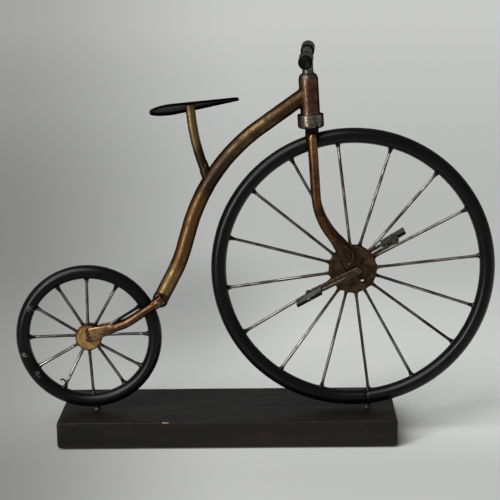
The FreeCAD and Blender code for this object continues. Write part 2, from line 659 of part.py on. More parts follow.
def make_all():
    parts = {"plinth": make_plinth(), "plinth_feet": make_feet()}
    make_wheel(
        parts, "front", FRONT_HUB, FRONT_RING_RADIUS, FRONT_RING_TUBE, FRONT_STUD_AHEAD,
        FRONT_DISC_RADIUS, FRONT_HUB_WIDTH, FRONT_BARREL_DIAMETER, FRONT_AXLE_DIAMETER,
        FRONT_WEB_WIDTH, FRONT_FIRST_ANGLE, FRONT_SPOKE_ANGLES)
    make_wheel(
        parts, "rear", REAR_HUB, REAR_RING_RADIUS, REAR_RING_TUBE, REAR_STUD_AHEAD,
        REAR_DISC_RADIUS, REAR_HUB_WIDTH, REAR_BARREL_DIAMETER, REAR_AXLE_DIAMETER,
        REAR_WEB_WIDTH, REAR_FIRST_ANGLE, REAR_SPOKE_ANGLES)

    parts["head_tube"] = make_head_tube()
    parts["head_cap"] = make_head_cap()
    parts["head_cup"] = make_cup()
    parts["handlebar"] = make_handlebar()
    parts["stem"] = make_stem(parts["handlebar"])
    parts["rear_crown"] = make_rear_crown()
    parts["backbone"] = make_backbone(parts["head_tube"], parts["head_cup"], parts["rear_crown"])
    parts["saddle"] = make_saddle()
    parts["seat_post"] = make_post(parts["saddle"], parts["backbone"])

    blades = []
    stays = []
    crank_angles = (RIGHT_CRANK_ANGLE, LEFT_CRANK_ANGLE)
    for (side_name, side), angle in zip(SIDES, crank_angles):
        parts["grip_" + side_name] = make_grip(side)
        parts["fork_blade_" + side_name] = make_blade(side)
        parts["rear_stay_" + side_name] = make_stay(side, parts["rear_crown"])
        stays.append(parts["rear_stay_" + side_name])
        parts["crank_" + side_name] = make_crank(angle, side)
        parts["pedal_" + side_name] = make_pedal(angle, side)
        blades.append(parts["fork_blade_" + side_name])
    parts["fork_crown"] = make_fork_crown(parts["head_cup"], blades)
    parts["front_axle"] = across(FRONT_HUB, -CRANK_INNER, CRANK_INNER, FRONT_AXLE_DIAMETER)
    parts["rear_axle"] = make_rear_axle(stays)
    return parts


for node, shape in make_all().items():
    solids = shape.Solids
    if not shape.isValid() or not solids:
        raise ValueError(node + " is not a valid solid")
    shape.exportStep(f"parts/{node}.step")
    print(f"{node}: {len(solids)} solid(s), {shape.Volume:.0f} mm3, {shape.BoundBox}")
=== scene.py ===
import json
import math

import bmesh
import bpy
from bpy.props import FloatProperty, FloatVectorProperty, IntProperty, PointerProperty
from bpy.types import Operator, Panel, PropertyGroup
from mathutils import Matrix, Vector

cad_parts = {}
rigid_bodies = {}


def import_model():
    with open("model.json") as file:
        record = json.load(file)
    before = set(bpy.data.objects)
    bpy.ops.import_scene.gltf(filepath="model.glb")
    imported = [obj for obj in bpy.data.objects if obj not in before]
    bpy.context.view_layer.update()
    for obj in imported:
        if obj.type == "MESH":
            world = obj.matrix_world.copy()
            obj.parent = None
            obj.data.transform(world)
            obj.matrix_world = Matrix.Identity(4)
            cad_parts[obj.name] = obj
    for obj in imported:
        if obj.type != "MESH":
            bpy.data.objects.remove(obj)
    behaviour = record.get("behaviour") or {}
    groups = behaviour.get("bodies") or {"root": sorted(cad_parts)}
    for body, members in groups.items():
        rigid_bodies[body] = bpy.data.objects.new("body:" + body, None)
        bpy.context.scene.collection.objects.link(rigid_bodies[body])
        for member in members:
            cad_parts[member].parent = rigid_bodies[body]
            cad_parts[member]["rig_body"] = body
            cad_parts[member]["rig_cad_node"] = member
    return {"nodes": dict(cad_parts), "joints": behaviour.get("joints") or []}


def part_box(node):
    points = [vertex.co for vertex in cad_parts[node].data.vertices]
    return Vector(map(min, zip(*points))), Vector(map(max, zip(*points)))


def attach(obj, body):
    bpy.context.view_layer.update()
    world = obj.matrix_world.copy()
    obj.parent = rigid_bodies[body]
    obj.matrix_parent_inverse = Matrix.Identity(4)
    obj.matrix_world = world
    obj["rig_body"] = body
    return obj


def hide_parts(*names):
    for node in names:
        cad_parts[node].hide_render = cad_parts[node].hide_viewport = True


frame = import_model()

bl_info = {
    "name": "Penny farthing table model",
    "version": (1, 0, 0),
    "blender": (4, 5, 0),
    "location": "3D View > Sidebar > Penny farthing",
    "description": "Makes the finished pieces of a metal penny farthing model on a wooden plinth",
    "category": "Object",
}

# Metres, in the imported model's frame: +X is the bicycle's front, +Y its left, +Z up.
MM = 0.001
ACROSS = Vector((0, 1, 0))
UP = Vector((0, 0, 1))
# each side's name and the sign of its Y
SIDES = (("right", -1), ("left", 1))
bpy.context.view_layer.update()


def mm(x, y, z):
    """Point or way given in millimetres."""
    return Vector((x, y, z)) * MM


def middle(node):
    """Centre of a CAD node's box."""
    low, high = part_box(node)
    return (Vector(low) + Vector(high)) / 2


def span(node):
    """Size of a CAD node's box along X, Y and Z."""
    low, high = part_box(node)
    return Vector(high) - Vector(low)


def beside(axle, ahead, up, y=0.0):
    """Point of the side view, so far ahead of and above an axle in millimetres, at one Y."""
    return Vector((axle.x + ahead * MM, y, axle.z + up * MM))


FRONT_AXLE = middle("front_ring")
REAR_AXLE = middle("rear_ring")
PEDAL_AT = {joint["child"]: Vector(joint["pos_m"]) for joint in frame["joints"]}

# how far each hand-set spoke stands off its even place, in degrees, clockwise from the first one
FRONT_SPOKE_ANGLES = (
    0, 1.3, 2.4, 1.3, 1.1, 2.1, -1, 0.9, -0.6, -1.4, -3.4, -1.4, -1.7, -0.9, 0.6, 0.6,
)
REAR_SPOKE_ANGLES = (0.8, 0.7, 0.4, -1.2, 2.2, -3.6, -1.2, -2.1, 0.7, 1, 1.4, 1)


def length(name, description, millimetres):
    """Setting that is a size, its default in millimetres."""
    return FloatProperty(
        name=name, description=description, default=millimetres * MM, min=0.0,
        subtype="DISTANCE", unit="LENGTH")


def place(name, description, default):
    """Setting that is a point or three sizes, in metres."""
    return FloatVectorProperty(
        name=name, description=description, default=default, subtype="TRANSLATION", unit="LENGTH")


def tint(name, description, default):
    """Setting that is a colour."""
    return FloatVectorProperty(
        name=name, description=description, default=default, subtype="COLOR", min=0.0, max=1.0)


def angle(name, description, degrees):
    """Setting that is an angle, its default in degrees."""
    return FloatProperty(
        name=name, description=description, default=math.radians(degrees), subtype="ANGLE",
        unit="ROTATION")


class WheelSettings(PropertyGroup):
    front_first: angle("Front first spoke", "Bearing of the front wheel's first spoke", -6.6)
    rear_first: angle("Rear first spoke", "Bearing of the rear wheel's first spoke", -1.2)
    spoke_diameter: length("Spoke diameter", "Thickness of a spoke's wire", 3.3)
    weld_length: length("Rim weld length", "How far a rim weld climbs its spoke", 3.8)
    weld_foot: length("Rim weld foot", "Half width of a rim weld along the ring", 4.6)
    web_length: length("Hub web length", "How far a hub web reaches along its spoke", 5.0)
    front_web: length("Front web foot", "Half width of a web at the front hub", 4.6)
    rear_web: length("Rear web foot", "Half width of a web at the rear hub", 3.4)
    seam_ahead: length("Ring seam", "How far ahead of the front axle its ring is seamed", 16.4)


class HeadSettings(PropertyGroup):
    rake: angle("Rake", "Lean of the steering head, its top to the back", 3.0)
    cup_wall: length("Cup wall", "Thickness of the cup's wall", 2.2)
    cup_floor: length("Cup floor", "Thickness of the cup's floor", 4.0)
    cup_height: length("Cup height", "Height of the cup, floor and wall", 15.2)
    bar_diameter: length("Bar diameter", "Thickness of the handlebar", 10.5)
    grip_length: length("Grip length", "Length of one grip, with its end", 46.5)
    bar_turn: angle("Bar turn", "How far the handlebar is turned about the head", 2.1)
    bar_tilt: angle("Bar tilt", "How far the handlebar's left end is up", 0.9)


class FrameTubeSettings(PropertyGroup):
    backbone_diameter: length("Backbone diameter", "Thickness of the backbone tube", 17.5)
    post_diameter: length("Post diameter", "Thickness of the saddle post", 10.5)
    blade_diameter: length("Fork blade diameter", "Thickness of a front fork blade", 10.5)
    stay_diameter: length("Rear stay diameter", "Thickness of a rear stay", 9.8)
    dents: length("Hammer dents", "Depth of the unevenness of a hand-worked tube", 0.28)


class SaddleSettings(PropertyGroup):
    rear: place("Rear", "Rear tip of the saddle's edge", (-0.11085, 0, 0.3719))
    nose: place("Nose", "Front tip of the saddle's edge", (-0.0141, 0, 0.3861))
    roll: angle("Roll", "How far the saddle leans to the left", 17.0)
    width: length("Width", "Width of the saddle at its back", 50.0)
    nose_width: length("Nose width", "Width of the saddle's nose", 9.0)
    skirt: length("Skirt", "How far the edge is turned down", 3.0)
    skin: length("Sheet", "Thickness of the saddle's sheet", 1.2)
    crown: length("Crown", "How far the top rises along its middle", 0.7)


class PedalSettings(PropertyGroup):
    size: place("Size", "Length, width and thickness of a pedal", (0.031, 0.022, 0.004))
    right_turn: angle("Right turn", "How far the right pedal stands from level", 208.5)
    left_turn: angle("Left turn", "How far the left pedal stands from level", 31.0)
    rib_count: IntProperty(name="Ribs", description="Ribs across a pedal", default=10, min=2)
    rib_depth: length("Rib depth", "Depth of the grooves between ribs", 0.6)
    end_plate: length("End plate", "Thickness of the smooth ends", 1.8)


class PlinthSettings(PropertyGroup):
    edge: length("Edge", "Rounding of the plinth's edges", 1.5)
    foot_round: length("Foot rounding", "Rounding of the lower edge of both ends", 4.0)
    dents: length("Edge wear", "Depth of the knocks along the edges", 0.35)


class StageSettings(PropertyGroup):
    camera: place("Camera", "Where the camera stands", (0.030636, -1.605240, 0.564040))
    yaw: angle("Yaw", "Camera's turn to the left or right", -1.2095)
    pitch: angle("Pitch", "Camera's tilt downwards", 12.2474)
    roll: angle("Roll", "Camera's roll", -0.8427)
    lens: FloatProperty(name="Lens", description="Focal length", default=105.889, unit="CAMERA")
    floor: tint("Floor", "Colour of the floor", (0.77, 0.78, 0.76))
    floor_radius: length("Floor radius", "Radius of the floor", 15000)


SETTINGS = {
    "penny_wheels": WheelSettings,
    "penny_head": HeadSettings,
    "penny_tubes": FrameTubeSettings,
    "penny_saddle": SaddleSettings,
    "penny_pedals": PedalSettings,
    "penny_plinth": PlinthSettings,
    "penny_stage": StageSettings,
}


# ---------------------------------------------------------------- modelling helpers

def hands_off():
    """Object mode with nothing selected."""
    if bpy.context.object and bpy.context.object.mode != "OBJECT":
        bpy.ops.object.mode_set(mode="OBJECT")
    bpy.ops.object.select_all(action="DESELECT")


def take(piece):
    """Makes one piece the only selected one."""
    hands_off()
    piece.select_set(True)
    bpy.context.view_layer.objects.active = piece


def edit(piece):
    """Takes one piece into edit mode."""
    take(piece)
    bpy.ops.object.mode_set(mode="EDIT")


def keep_place():
    """Puts the selected pieces' place, turn and size into their meshes."""
    bpy.ops.object.transform_apply(location=True, rotation=True, scale=True)


def open_ring(name, centre, facing, radius, sides):
    """A loop of vertices that faces one way, left in edit mode as the start of a tube."""
    hands_off()
    turn = facing.to_track_quat("Z", "Y").to_euler()
    bpy.ops.mesh.primitive_circle_add(vertices=sides, radius=radius, location=centre, rotation=turn)
    piece = bpy.context.object
    piece.name = name
    keep_place()
    bpy.ops.object.mode_set(mode="EDIT")
    bpy.ops.mesh.select_mode(type="VERT")
    bpy.ops.mesh.select_all(action="SELECT")
    return piece


def pick(piece, wanted):
    """Selects the vertices whose place passes the test; the piece is in edit mode."""
    bpy.ops.mesh.select_all(action="DESELECT")
    shape = bmesh.from_edit_mesh(piece.data)
    for vertex in shape.verts:
        vertex.select = wanted(vertex.co)
    shape.select_flush(True)
    bmesh.update_edit_mesh(piece.data)


def push(way, steps=1):
    """Extrudes the selected loop by so much, in even steps."""
    for _ in range(steps):
        bpy.ops.mesh.extrude_region_move(TRANSFORM_OT_translate={"value": Vector(way) / steps})


def swell(centre, size):
    """Scales the selected loop about a point."""
    bpy.ops.transform.resize(value=size, center_override=centre)


def close_up():
    """Ends edit mode with every opening filled and all faces pointing out."""
    bpy.ops.mesh.select_all(action="SELECT")
    bpy.ops.mesh.remove_doubles(threshold=0.00001)
    bpy.ops.mesh.fill_holes(sides=0)
    bpy.ops.mesh.select_all(action="SELECT")
    bpy.ops.mesh.normals_make_consistent(inside=False)
    bpy.ops.object.mode_set(mode="OBJECT")


def cut(point, facing):
    """Cuts new edges all round the piece that is in edit mode, where a plane meets it."""
    bpy.ops.mesh.select_all(action="SELECT")
    bpy.ops.mesh.bisect(plane_co=point, plane_no=facing)


def modify(piece, kind, **values):
    """Adds one modifier with these values and applies it."""
    take(piece)
    bpy.ops.object.modifier_add(type=kind)
    modifier = piece.modifiers[-1]
    for key, value in values.items():
        setattr(modifier, key, value)
    bpy.ops.object.modifier_apply(modifier=modifier.name)


def work_by_hand(piece, depth, size):
    """Shallow dents all over, as on hammered or bent metal."""
    texture = bpy.data.textures.new(piece.name + "_dents", "CLOUDS")
    texture.noise_scale = size
    texture.noise_depth = 2
    modify(piece, "DISPLACE", texture=texture, strength=depth, mid_level=0.5,
           texture_coords="LOCAL")


def melt(piece, voxel, rounds):
    """Joins the shells of a piece to one skin with soft corners."""
    modify(piece, "REMESH", mode="VOXEL", voxel_size=voxel)
    modify(piece, "SMOOTH", factor=0.5, iterations=rounds)


def turned(name, profile, base, direction, sides):
    """A turned piece: profile holds radius and height pairs, along direction from base."""
    radius, height = profile[0]
    piece = open_ring(name, (0, 0, height), UP, radius, sides)
    for (before, low), (after, high) in zip(profile, profile[1:]):
        push((0, 0, high - low))
        swell((0, 0, high), (after / before, after / before, 1))
    close_up()
    piece.rotation_euler = direction.to_track_quat("Z", "Y").to_euler()
    piece.location = base
    keep_place()
    return piece


def rounded(radius, low, high, edge, steps=4):
    """Profile of a plain turned bar with rounded rims."""
    quarter = [math.pi / 2 * step / steps for step in range(steps + 1)]
    foot = [(radius - edge * (1 - math.sin(a)), low + edge * (1 - math.cos(a))) for a in quarter]
    top = [(radius - edge * (1 - math.cos(a)), high - edge * (1 - math.sin(a))) for a in quarter]
    return foot + top


def bent_tube(name, points, radii, radius, sides, step=3 * MM):
    """A round tube through points of the side view, its corners bent to these radii.

    It is left in edit mode with the last loop selected."""
    start = points[0]
    piece = open_ring(name, start, points[1] - start, radius, sides)
    for before, corner, after, bend in zip(points, points[1:], points[2:], radii):
        inward = (before - corner).normalized()
        onward = (after - corner).normalized()
        turn = math.pi - inward.angle(onward)
        tangent = bend * math.tan(turn / 2)
        begin = corner + inward * tangent
        push(begin - start, max(1, round((begin - start).length / step)))
        centre = corner + (inward + onward).normalized() * (bend / math.cos(turn / 2))
        # spin turns against the right hand about +Y
        way = -math.copysign(turn, (inward.cross(onward) * -1).y)
        bpy.ops.mesh.spin(steps=max(3, round(bend * turn / step)), angle=way, center=centre,
                          axis=ACROSS)
        start = corner + onward * tangent
    push(points[-1] - start, max(1, round((points[-1] - start).length / step)))
    return piece


def copy_of(source):
    """Copy of a piece with a mesh of its own."""
    copy = source.copy()
    copy.data = source.data.copy()
    bpy.context.scene.collection.objects.link(copy)
    return copy


def copies(source, matrices):
    """Copies of a piece, one at each place, joined to one; the source goes."""
    made = []
    for matrix in matrices:
        made.append(copy_of(source))
        made[-1].matrix_world = matrix
    name = source.name
    bpy.data.objects.remove(source)
    return joined(name, made)


def joined(name, pieces):
    """Joins pieces to the first of them, at the origin and under one name."""
    hands_off()
    for piece in pieces:
        piece.select_set(True)
    bpy.context.view_layer.objects.active = pieces[0]
    keep_place()
    if len(pieces) > 1:
        bpy.ops.object.join()
    pieces[0].name = name
    return pieces[0]


def box(name, size, edge, centre=(0, 0, 0)):
    """Block, its edges rounded where edge is more than nothing."""
    hands_off()
    bpy.ops.mesh.primitive_cube_add(size=1, location=centre)
    piece = bpy.context.object
    piece.name = name
    piece.scale = size
    keep_place()
    if edge:
        modify(piece, "BEVEL", width=edge, segments=3, limit_method="ANGLE")
    return piece


def drill(piece, centre, radius, depth):
    """A round hole along Y through a piece."""
    hands_off()
    bpy.ops.mesh.primitive_cylinder_add(
        vertices=32, radius=radius, depth=depth, location=centre, rotation=(math.pi / 2, 0, 0))
    cutter = bpy.context.object
    keep_place()
    modify(piece, "BOOLEAN", operation="DIFFERENCE", object=cutter, solver="EXACT")
    bpy.data.objects.remove(cutter)


def hand_in(piece, material, *nodes, slot=None, body="model", crease=35):
    """Shading, finish, body and CAD nodes of a finished piece.

    Its slot argument is not used."""
    slot = slot or material
    take(piece)
    bpy.ops.object.shade_smooth_by_angle(angle=math.radians(crease))
    piece.data.materials.clear()
    piece.data.materials.append(FINISHES[material])
    piece.data.name = piece.name
    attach(piece, body)
    if nodes:
        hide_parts(*nodes)


# ---------------------------------------------------------------- finishes

FINISHES = {}


def new_group(name, inputs, outputs):
    """Shader node group with named sockets, given as name, kind and default."""
    tree = bpy.data.node_groups.new(name, "ShaderNodeTree")
    for label, kind, default in inputs:
        socket = tree.interface.new_socket(label, in_out="INPUT", socket_type="NodeSocket" + kind)
        if default is not None:
            socket.default_value = default
    for label, kind in outputs:
        tree.interface.new_socket(label, in_out="OUTPUT", socket_type="NodeSocket" + kind)
    return tree, tree.nodes.new("NodeGroupInput").outputs, tree.nodes.new("NodeGroupOutput").inputs


def feed(tree, socket, value):
    """Links an output into a socket, or sets the socket to a plain value."""
    if isinstance(value, bpy.types.NodeSocket):
        tree.links.new(value, socket)
    elif value is not None:
        socket.default_value = value


def put(tree, kind, settings=(), **inputs):
    """Adds a node; settings are its own, inputs go by socket name with _ for a space."""
    node = tree.nodes.new("ShaderNode" + kind)
    for key, value in dict(settings).items():
        setattr(node, key, value)
    for key, value in inputs.items():
        feed(tree, node.inputs[key.replace("_", " ")], value)
    return node


def noise(tree, vector, scale, detail=4.0, roughness=0.55):
    """Cloudy value about 0.5."""
    return put(tree, "TexNoise", Vector=vector, Scale=scale, Detail=detail,
               Roughness=roughness).outputs["Fac"]


def ramp(tree, value, low, high, to_low=0.0, to_high=1.0):
    """Value between low and high brought to the span to_low to to_high, with soft ends."""
    node = put(tree, "MapRange", {"interpolation_type": "SMOOTHSTEP"}, Value=value,
               From_Min=low, From_Max=high, To_Min=to_low, To_Max=to_high)
    return node.outputs["Result"]


def calc(tree, operation, first, second):
    """Sum on two values; all but a quotient and an angle is kept within 0 and 1."""
    clamped = operation not in ("DIVIDE", "ARCTAN2")
    node = put(tree, "Math", {"operation": operation, "use_clamp": clamped})
    feed(tree, node.inputs[0], first)
    feed(tree, node.inputs[1], second)
    return node.outputs[0]


def times(tree, first, second):
    """Product of two values, kept within 0 and 1."""
    return calc(tree, "MULTIPLY", first, second)


def vector_calc(tree, operation, vector, other=None):
    """Sum on a vector and, where the sum needs one, a plain second vector."""
    node = put(tree, "VectorMath", {"operation": operation}, Vector=vector)
    feed(tree, node.inputs[1], other)
    return node.outputs["Value" if operation in ("DISTANCE", "LENGTH") else "Vector"]


def blend(tree, share, first, second):
    """Colour between first and second; a mix node's colours are its sockets 6, 7 and 2."""
    node = put(tree, "Mix", {"data_type": "RGBA"}, Factor=share)
    feed(tree, node.inputs[6], first)
    feed(tree, node.inputs[7], second)
    return node.outputs[2]


def patina_group():
    """Cloudy patches of two colours with small flecks of a third."""
    tree, source, result = new_group("Patina", (
        ("Vector", "Vector", None), ("Patch size", "Float", 0.01), ("Fleck size", "Float", 0.002),
        ("Flecks", "Float", 0.5), ("Dark", "Color", None), ("Middle", "Color", None),
        ("Light", "Color", None)), (("Color", "Color"), ("Patches", "Float")))
    patches = noise(tree, source["Vector"], calc(tree, "DIVIDE", 1.0, source["Patch size"]))
    patches = ramp(tree, patches, 0.36, 0.64)
    flecks = noise(tree, source["Vector"], calc(tree, "DIVIDE", 1.0, source["Fleck size"]), 3.0)
    flecks = times(tree, ramp(tree, flecks, 0.5, 0.72), source["Flecks"])
    ground = blend(tree, patches, source["Dark"], source["Middle"])
    feed(tree, result["Color"], blend(tree, flecks, ground, source["Light"]))
    feed(tree, result["Patches"], patches)


def wear_group():
    """Mask of rubbed corners, broken up by noise."""
    tree, source, result = new_group("Rubbed corners", (
        ("Vector", "Vector", None), ("Start", "Float", 0.53), ("Full", "Float", 0.6),
        ("Amount", "Float", 1.0)), (("Mask", "Float"),))
    corner = tree.nodes.new("ShaderNodeNewGeometry").outputs["Pointiness"]
    corner = put(tree, "MapRange", Value=corner, From_Min=source["Start"],
                 From_Max=source["Full"]).outputs["Result"]
    rubbed = ramp(tree, noise(tree, source["Vector"], 260.0), 0.38, 0.62)
    mask = times(tree, times(tree, corner, rubbed), source["Amount"])
    feed(tree, result["Mask"], mask)


def grime_group():
    """Mask of dirt in hollows and joints."""
    tree, source, result = new_group("Grime in hollows", (
        ("Start", "Float", 0.49), ("Full", "Float", 0.44), ("Amount", "Float", 1.0)),
        (("Mask", "Float"),))
    hollow = tree.nodes.new("ShaderNodeNewGeometry").outputs["Pointiness"]
    hollow = put(tree, "MapRange", Value=hollow, From_Min=source["Start"],
                 From_Max=source["Full"]).outputs["Result"]
    mask = times(tree, hollow, source["Amount"])
    feed(tree, result["Mask"], mask)


def dust_group():
    """Mask of dust on faces that look up."""
    tree, source, result = new_group("Settled dust", (
        ("Vector", "Vector", None), ("Amount", "Float", 0.2)), (("Mask", "Float"),))
    normal = tree.nodes.new("ShaderNodeNewGeometry").outputs["Normal"]
    upward = put(tree, "SeparateXYZ", Vector=normal).outputs["Z"]
    upward = ramp(tree, upward, 0.2, 0.95)
    patchy = ramp(tree, noise(tree, source["Vector"], 45.0, 6.0), 0.35, 0.7, 0.25, 1.0)
    mask = times(tree, times(tree, upward, patchy), source["Amount"])
    feed(tree, result["Mask"], mask)


def skin_group():
    """Height of fine pits over shallow waves."""
    tree, source, result = new_group("Pitted skin", (
        ("Vector", "Vector", None), ("Pit size", "Float", 0.0012), ("Wave size", "Float", 0.006),
        ("Pits", "Float", 0.5)), (("Height", "Float"),))
    pits = noise(tree, source["Vector"], calc(tree, "DIVIDE", 1.0, source["Pit size"]), 3.0, 0.6)
    waves = noise(tree, source["Vector"], calc(tree, "DIVIDE", 1.0, source["Wave size"]), 2.0)
    pits = times(tree, pits, source["Pits"])
    feed(tree, result["Height"], calc(tree, "ADD", pits, times(tree, waves, 0.5)))


def use(tree, name, **inputs):
    """Places a shared group, its inputs by socket name with _ for a space."""
    node = tree.nodes.new("ShaderNodeGroup")
    node.node_tree = bpy.data.node_groups[name]
    for key, value in inputs.items():
        feed(tree, node.inputs[key.replace("_", " ")], value)
    return node.outputs


def solid(colour, times=1.0):
    """Opaque colour, made so many times as bright."""
    return (*[value * times for value in colour], 1.0)


def start_finish(name):
    """New material: its node tree, shader and object coordinates."""
    material = bpy.data.materials.new(name)
    material.use_nodes = True
    tree = material.node_tree
    FINISHES[name] = material
    shader = tree.nodes["Principled BSDF"]
    return tree, shader, tree.nodes.new("ShaderNodeTexCoord").outputs["Object"]


def paint(tree, shader, colour, gloss, **plain):
    """Gives a finish its colour and its gloss, and plain values by socket name."""
    for key, value in {"Base Color": colour, "Roughness": gloss, **plain}.items():
        feed(tree, shader.inputs[key.replace("_", " ")], value)


def bump_by(tree, shader, height, depth, strength):
    """Bumps a finish by a height, its depth in millimetres."""
    bump = put(tree, "Bump", Height=height, Distance=depth * MM, Strength=strength)
    feed(tree, shader.inputs["Normal"], bump.outputs["Normal"])


def rough_skin(tree, shader, vector, pit, wave, pits, depth, strength=0.5):
    """Pits over shallow waves, all sizes in millimetres."""
    skin = use(tree, "Pitted skin", Vector=vector, Pit_size=pit * MM, Wave_size=wave * MM,
               Pits=pits)
    bump_by(tree, shader, skin["Height"], depth, strength)


def stretched(tree, vector, scale, turn=(0, 0, 0)):
    """Object coordinates turned and scaled, so that a pattern runs along a piece."""
    return put(tree, "Mapping", Vector=vector, Rotation=turn, Scale=scale).outputs["Vector"]


def painted_outline_shade(tree, shader, colour, dark, amount, start=0.25):
    """Paints shade on a rounded metal towards its outline, where it turns from the camera, and
    tints its grazing reflections dark.
    """
    facing = put(tree, "LayerWeight", Blend=0.5).outputs["Facing"]
    share = times(tree, ramp(tree, facing, start, start + 0.55), amount)
    shader.inputs["Specular Tint"].default_value = solid(dark, 2)
    return blend(tree, share, colour, solid(dark, 0.5))


def near(tree, vector, spot, reach, edge):
    """Mask round a place: full within reach of it, fading over the edge, in millimetres."""
    ragged = times(tree, noise(tree, vector, 160.0), edge * 0.8 * MM)
    away = calc(tree, "ADD", vector_calc(tree, "DISTANCE", vector, mm(*spot)), ragged)
    return ramp(tree, away, (reach + edge) * MM, reach * MM)


def clouds(tree, vector, dark, medium, light, patch, fleck, flecks):
    """The shared patina in three colours, its patches and flecks sized in millimetres."""
    return use(tree, "Patina", Vector=vector, Patch_size=patch * MM, Fleck_size=fleck * MM,
               Flecks=flecks, Dark=solid(dark), Middle=solid(medium), Light=solid(light))


def dusted(tree, vector, colour, amount, tone):
    """Colour under dust that has settled on it."""
    dust = use(tree, "Settled dust", Vector=vector, Amount=amount)["Mask"]
    return blend(tree, dust, colour, solid(tone))


def aged_metal(name, dark, medium, light, patch, fleck, flecks, smooth, rough, metallic=1.0,
               wear_tone=None, depth=0.2, edges=0.9, zones=(), streaks=None, rim=None, coat=0.0):
    """Metal under a worn finish: patches, flecks, rubbed corners and dark hollows.

    All sizes are in millimetres. zones holds places, their reach, a colour and how strongly it
    shows; streaks is a place, its reach and the slope in degrees of hammer marks drawn there;
    rim is a place and a reach, and the colour of the metal further out. edges is how far the
    outline is darkened by painted shade, and coat how much clear lacquer lies on top."""
    tree, shader, vector = start_finish(name)
    patina = clouds(tree, vector, dark, medium, light, patch, fleck, flecks)
    colour = patina["Color"]
    for spot, reach, tone, amount in zones:
        share = times(tree, near(tree, vector, spot, reach, reach * 0.6), amount)
        colour = blend(tree, share, colour, solid(tone))
    if streaks:
        spot, reach, slope = streaks
        drawn = stretched(tree, vector, (0.12, 1, 1), (0, math.radians(slope), 0))
        drawn = ramp(tree, noise(tree, drawn, 700.0, 2.0), 0.50, 0.60, 0.0, 0.8)
        drawn = times(tree, drawn, near(tree, vector, spot, reach, 4))
        colour = blend(tree, drawn, colour, solid(dark, 0.8))
    if rim:
        spot, reach, tone = rim
        outside = calc(tree, "SUBTRACT", 1.0, near(tree, vector, spot, reach, 1.2))
        colour = blend(tree, outside, colour, solid(tone))
    worn = use(tree, "Rubbed corners", Vector=vector, Amount=0.5)["Mask"]
    grime = use(tree, "Grime in hollows", Amount=0.85)["Mask"]
    colour = blend(tree, worn, colour, solid(wear_tone or light))
    colour = blend(tree, grime, colour, solid(dark, 0.25))
    # painted shade towards the outline, and dark grazing reflections
    colour = painted_outline_shade(tree, shader, colour, dark, edges)
    gloss = ramp(tree, patina["Patches"], 0.0, 1.0, rough, smooth)
    gloss = blend(tree, grime, gloss, solid((0.75, 0.75, 0.75)))
    paint(tree, shader, colour, gloss, Metallic=metallic, Coat_Weight=coat, Coat_Roughness=0.2)
    rough_skin(tree, shader, vector, 1.2, 6, 0.5, depth)


def wire_finish():
    """Drawn steel wire: dull streaks that run along each spoke, a few brown stains, and painted
    shade near both hubs, on the rear spokes by the stays and towards each wire's outline.
    """
    tree, shader, vector = start_finish("spoke_steel")
    streaks = None
    for wheel in WHEELS:
        arm = vector_calc(tree, "SUBTRACT", vector, wheel.axle)
        arm = put(tree, "SeparateXYZ", Vector=arm).outputs
        bearing = calc(tree, "ARCTAN2", arm["X"], arm["Z"])
        reach = put(tree, "CombineXYZ", X=arm["X"], Z=arm["Z"]).outputs["Vector"]
        reach = vector_calc(tree, "LENGTH", reach)
        spiral = put(tree, "CombineXYZ", X=times(tree, reach, 0.35),
                     Y=bearing, Z=arm["Y"]).outputs["Vector"]
        pattern = noise(tree, spiral, 90.0, 5.0, 0.6)
        inside = ramp(tree, reach, wheel.ring + 2 * MM, wheel.ring + 1 * MM)
        streaks = pattern if streaks is None else blend(tree, inside, streaks, pattern)
    colour = blend(tree, ramp(tree, streaks, 0.42, 0.62), solid((0.045, 0.040, 0.033)),
                   solid((0.52, 0.49, 0.45)))
    stains = ramp(tree, noise(tree, vector, 45.0, 4.0), 0.50, 0.62, 0.0, 0.75)
    colour = blend(tree, stains, colour, solid((0.060, 0.042, 0.030)))
    # painted shadow on the rear wheel's spokes beside the stays
    shadow = near(tree, vector, (-140.0, 6, 143.0), 22, 12)
    colour = blend(tree, shadow, colour, solid((0.012, 0.010, 0.009)))
    # painted shade on the spokes near each hub
    for wheel, reach in zip(WHEELS, (45, 22)):
        painted_shade_by_hub = times(tree, near(tree, vector, wheel.axle / MM, reach, 35), 0.6)
        colour = blend(tree, painted_shade_by_hub, colour, solid((0.030, 0.024, 0.018)))
    # painted shade towards each wire's outline
    colour = painted_outline_shade(tree, shader, colour, (0.016, 0.013, 0.010), 1.0, 0.05)
    paint(tree, shader, colour, ramp(tree, streaks, 0.3, 0.7, 0.42, 0.26), Metallic=1.0)
    rough_skin(tree, shader, vector, 0.8, 5, 0.5, 0.12)


def ring_finish():
    """Black satin paint with faint clouds, dust and pale scuffs on the rear ring's back."""
    tree, shader, vector = start_finish("black_ring")
    patina = clouds(tree, vector, (0.0008, 0.0008, 0.001), (0.0018, 0.0018, 0.0022),
                    (0.008, 0.008, 0.008), 30, 2.5, 0.12)
    colour = dusted(tree, vector, patina["Color"], 0.005, (0.3, 0.29, 0.26))
    marks = ramp(tree, noise(tree, vector, 420.0, 4.0), 0.51, 0.60)
    for spot in ((-251.4, -7, 151.8), (-260.8, -7, 98.3), (-247.1, -7, 74.5)):
        scuff = times(tree, near(tree, vector, spot, 2.2, 6), marks)
        colour = blend(tree, scuff, colour, solid((0.26, 0.25, 0.24)))
    gloss = ramp(tree, noise(tree, vector, 60.0, 5.0), 0.3, 0.7, 0.25, 0.33)
    paint(tree, shader, colour, gloss, Specular_IOR_Level=0.25)
    rough_skin(tree, shader, vector, 0.9, 7, 0.35, 0.10, 0.35)


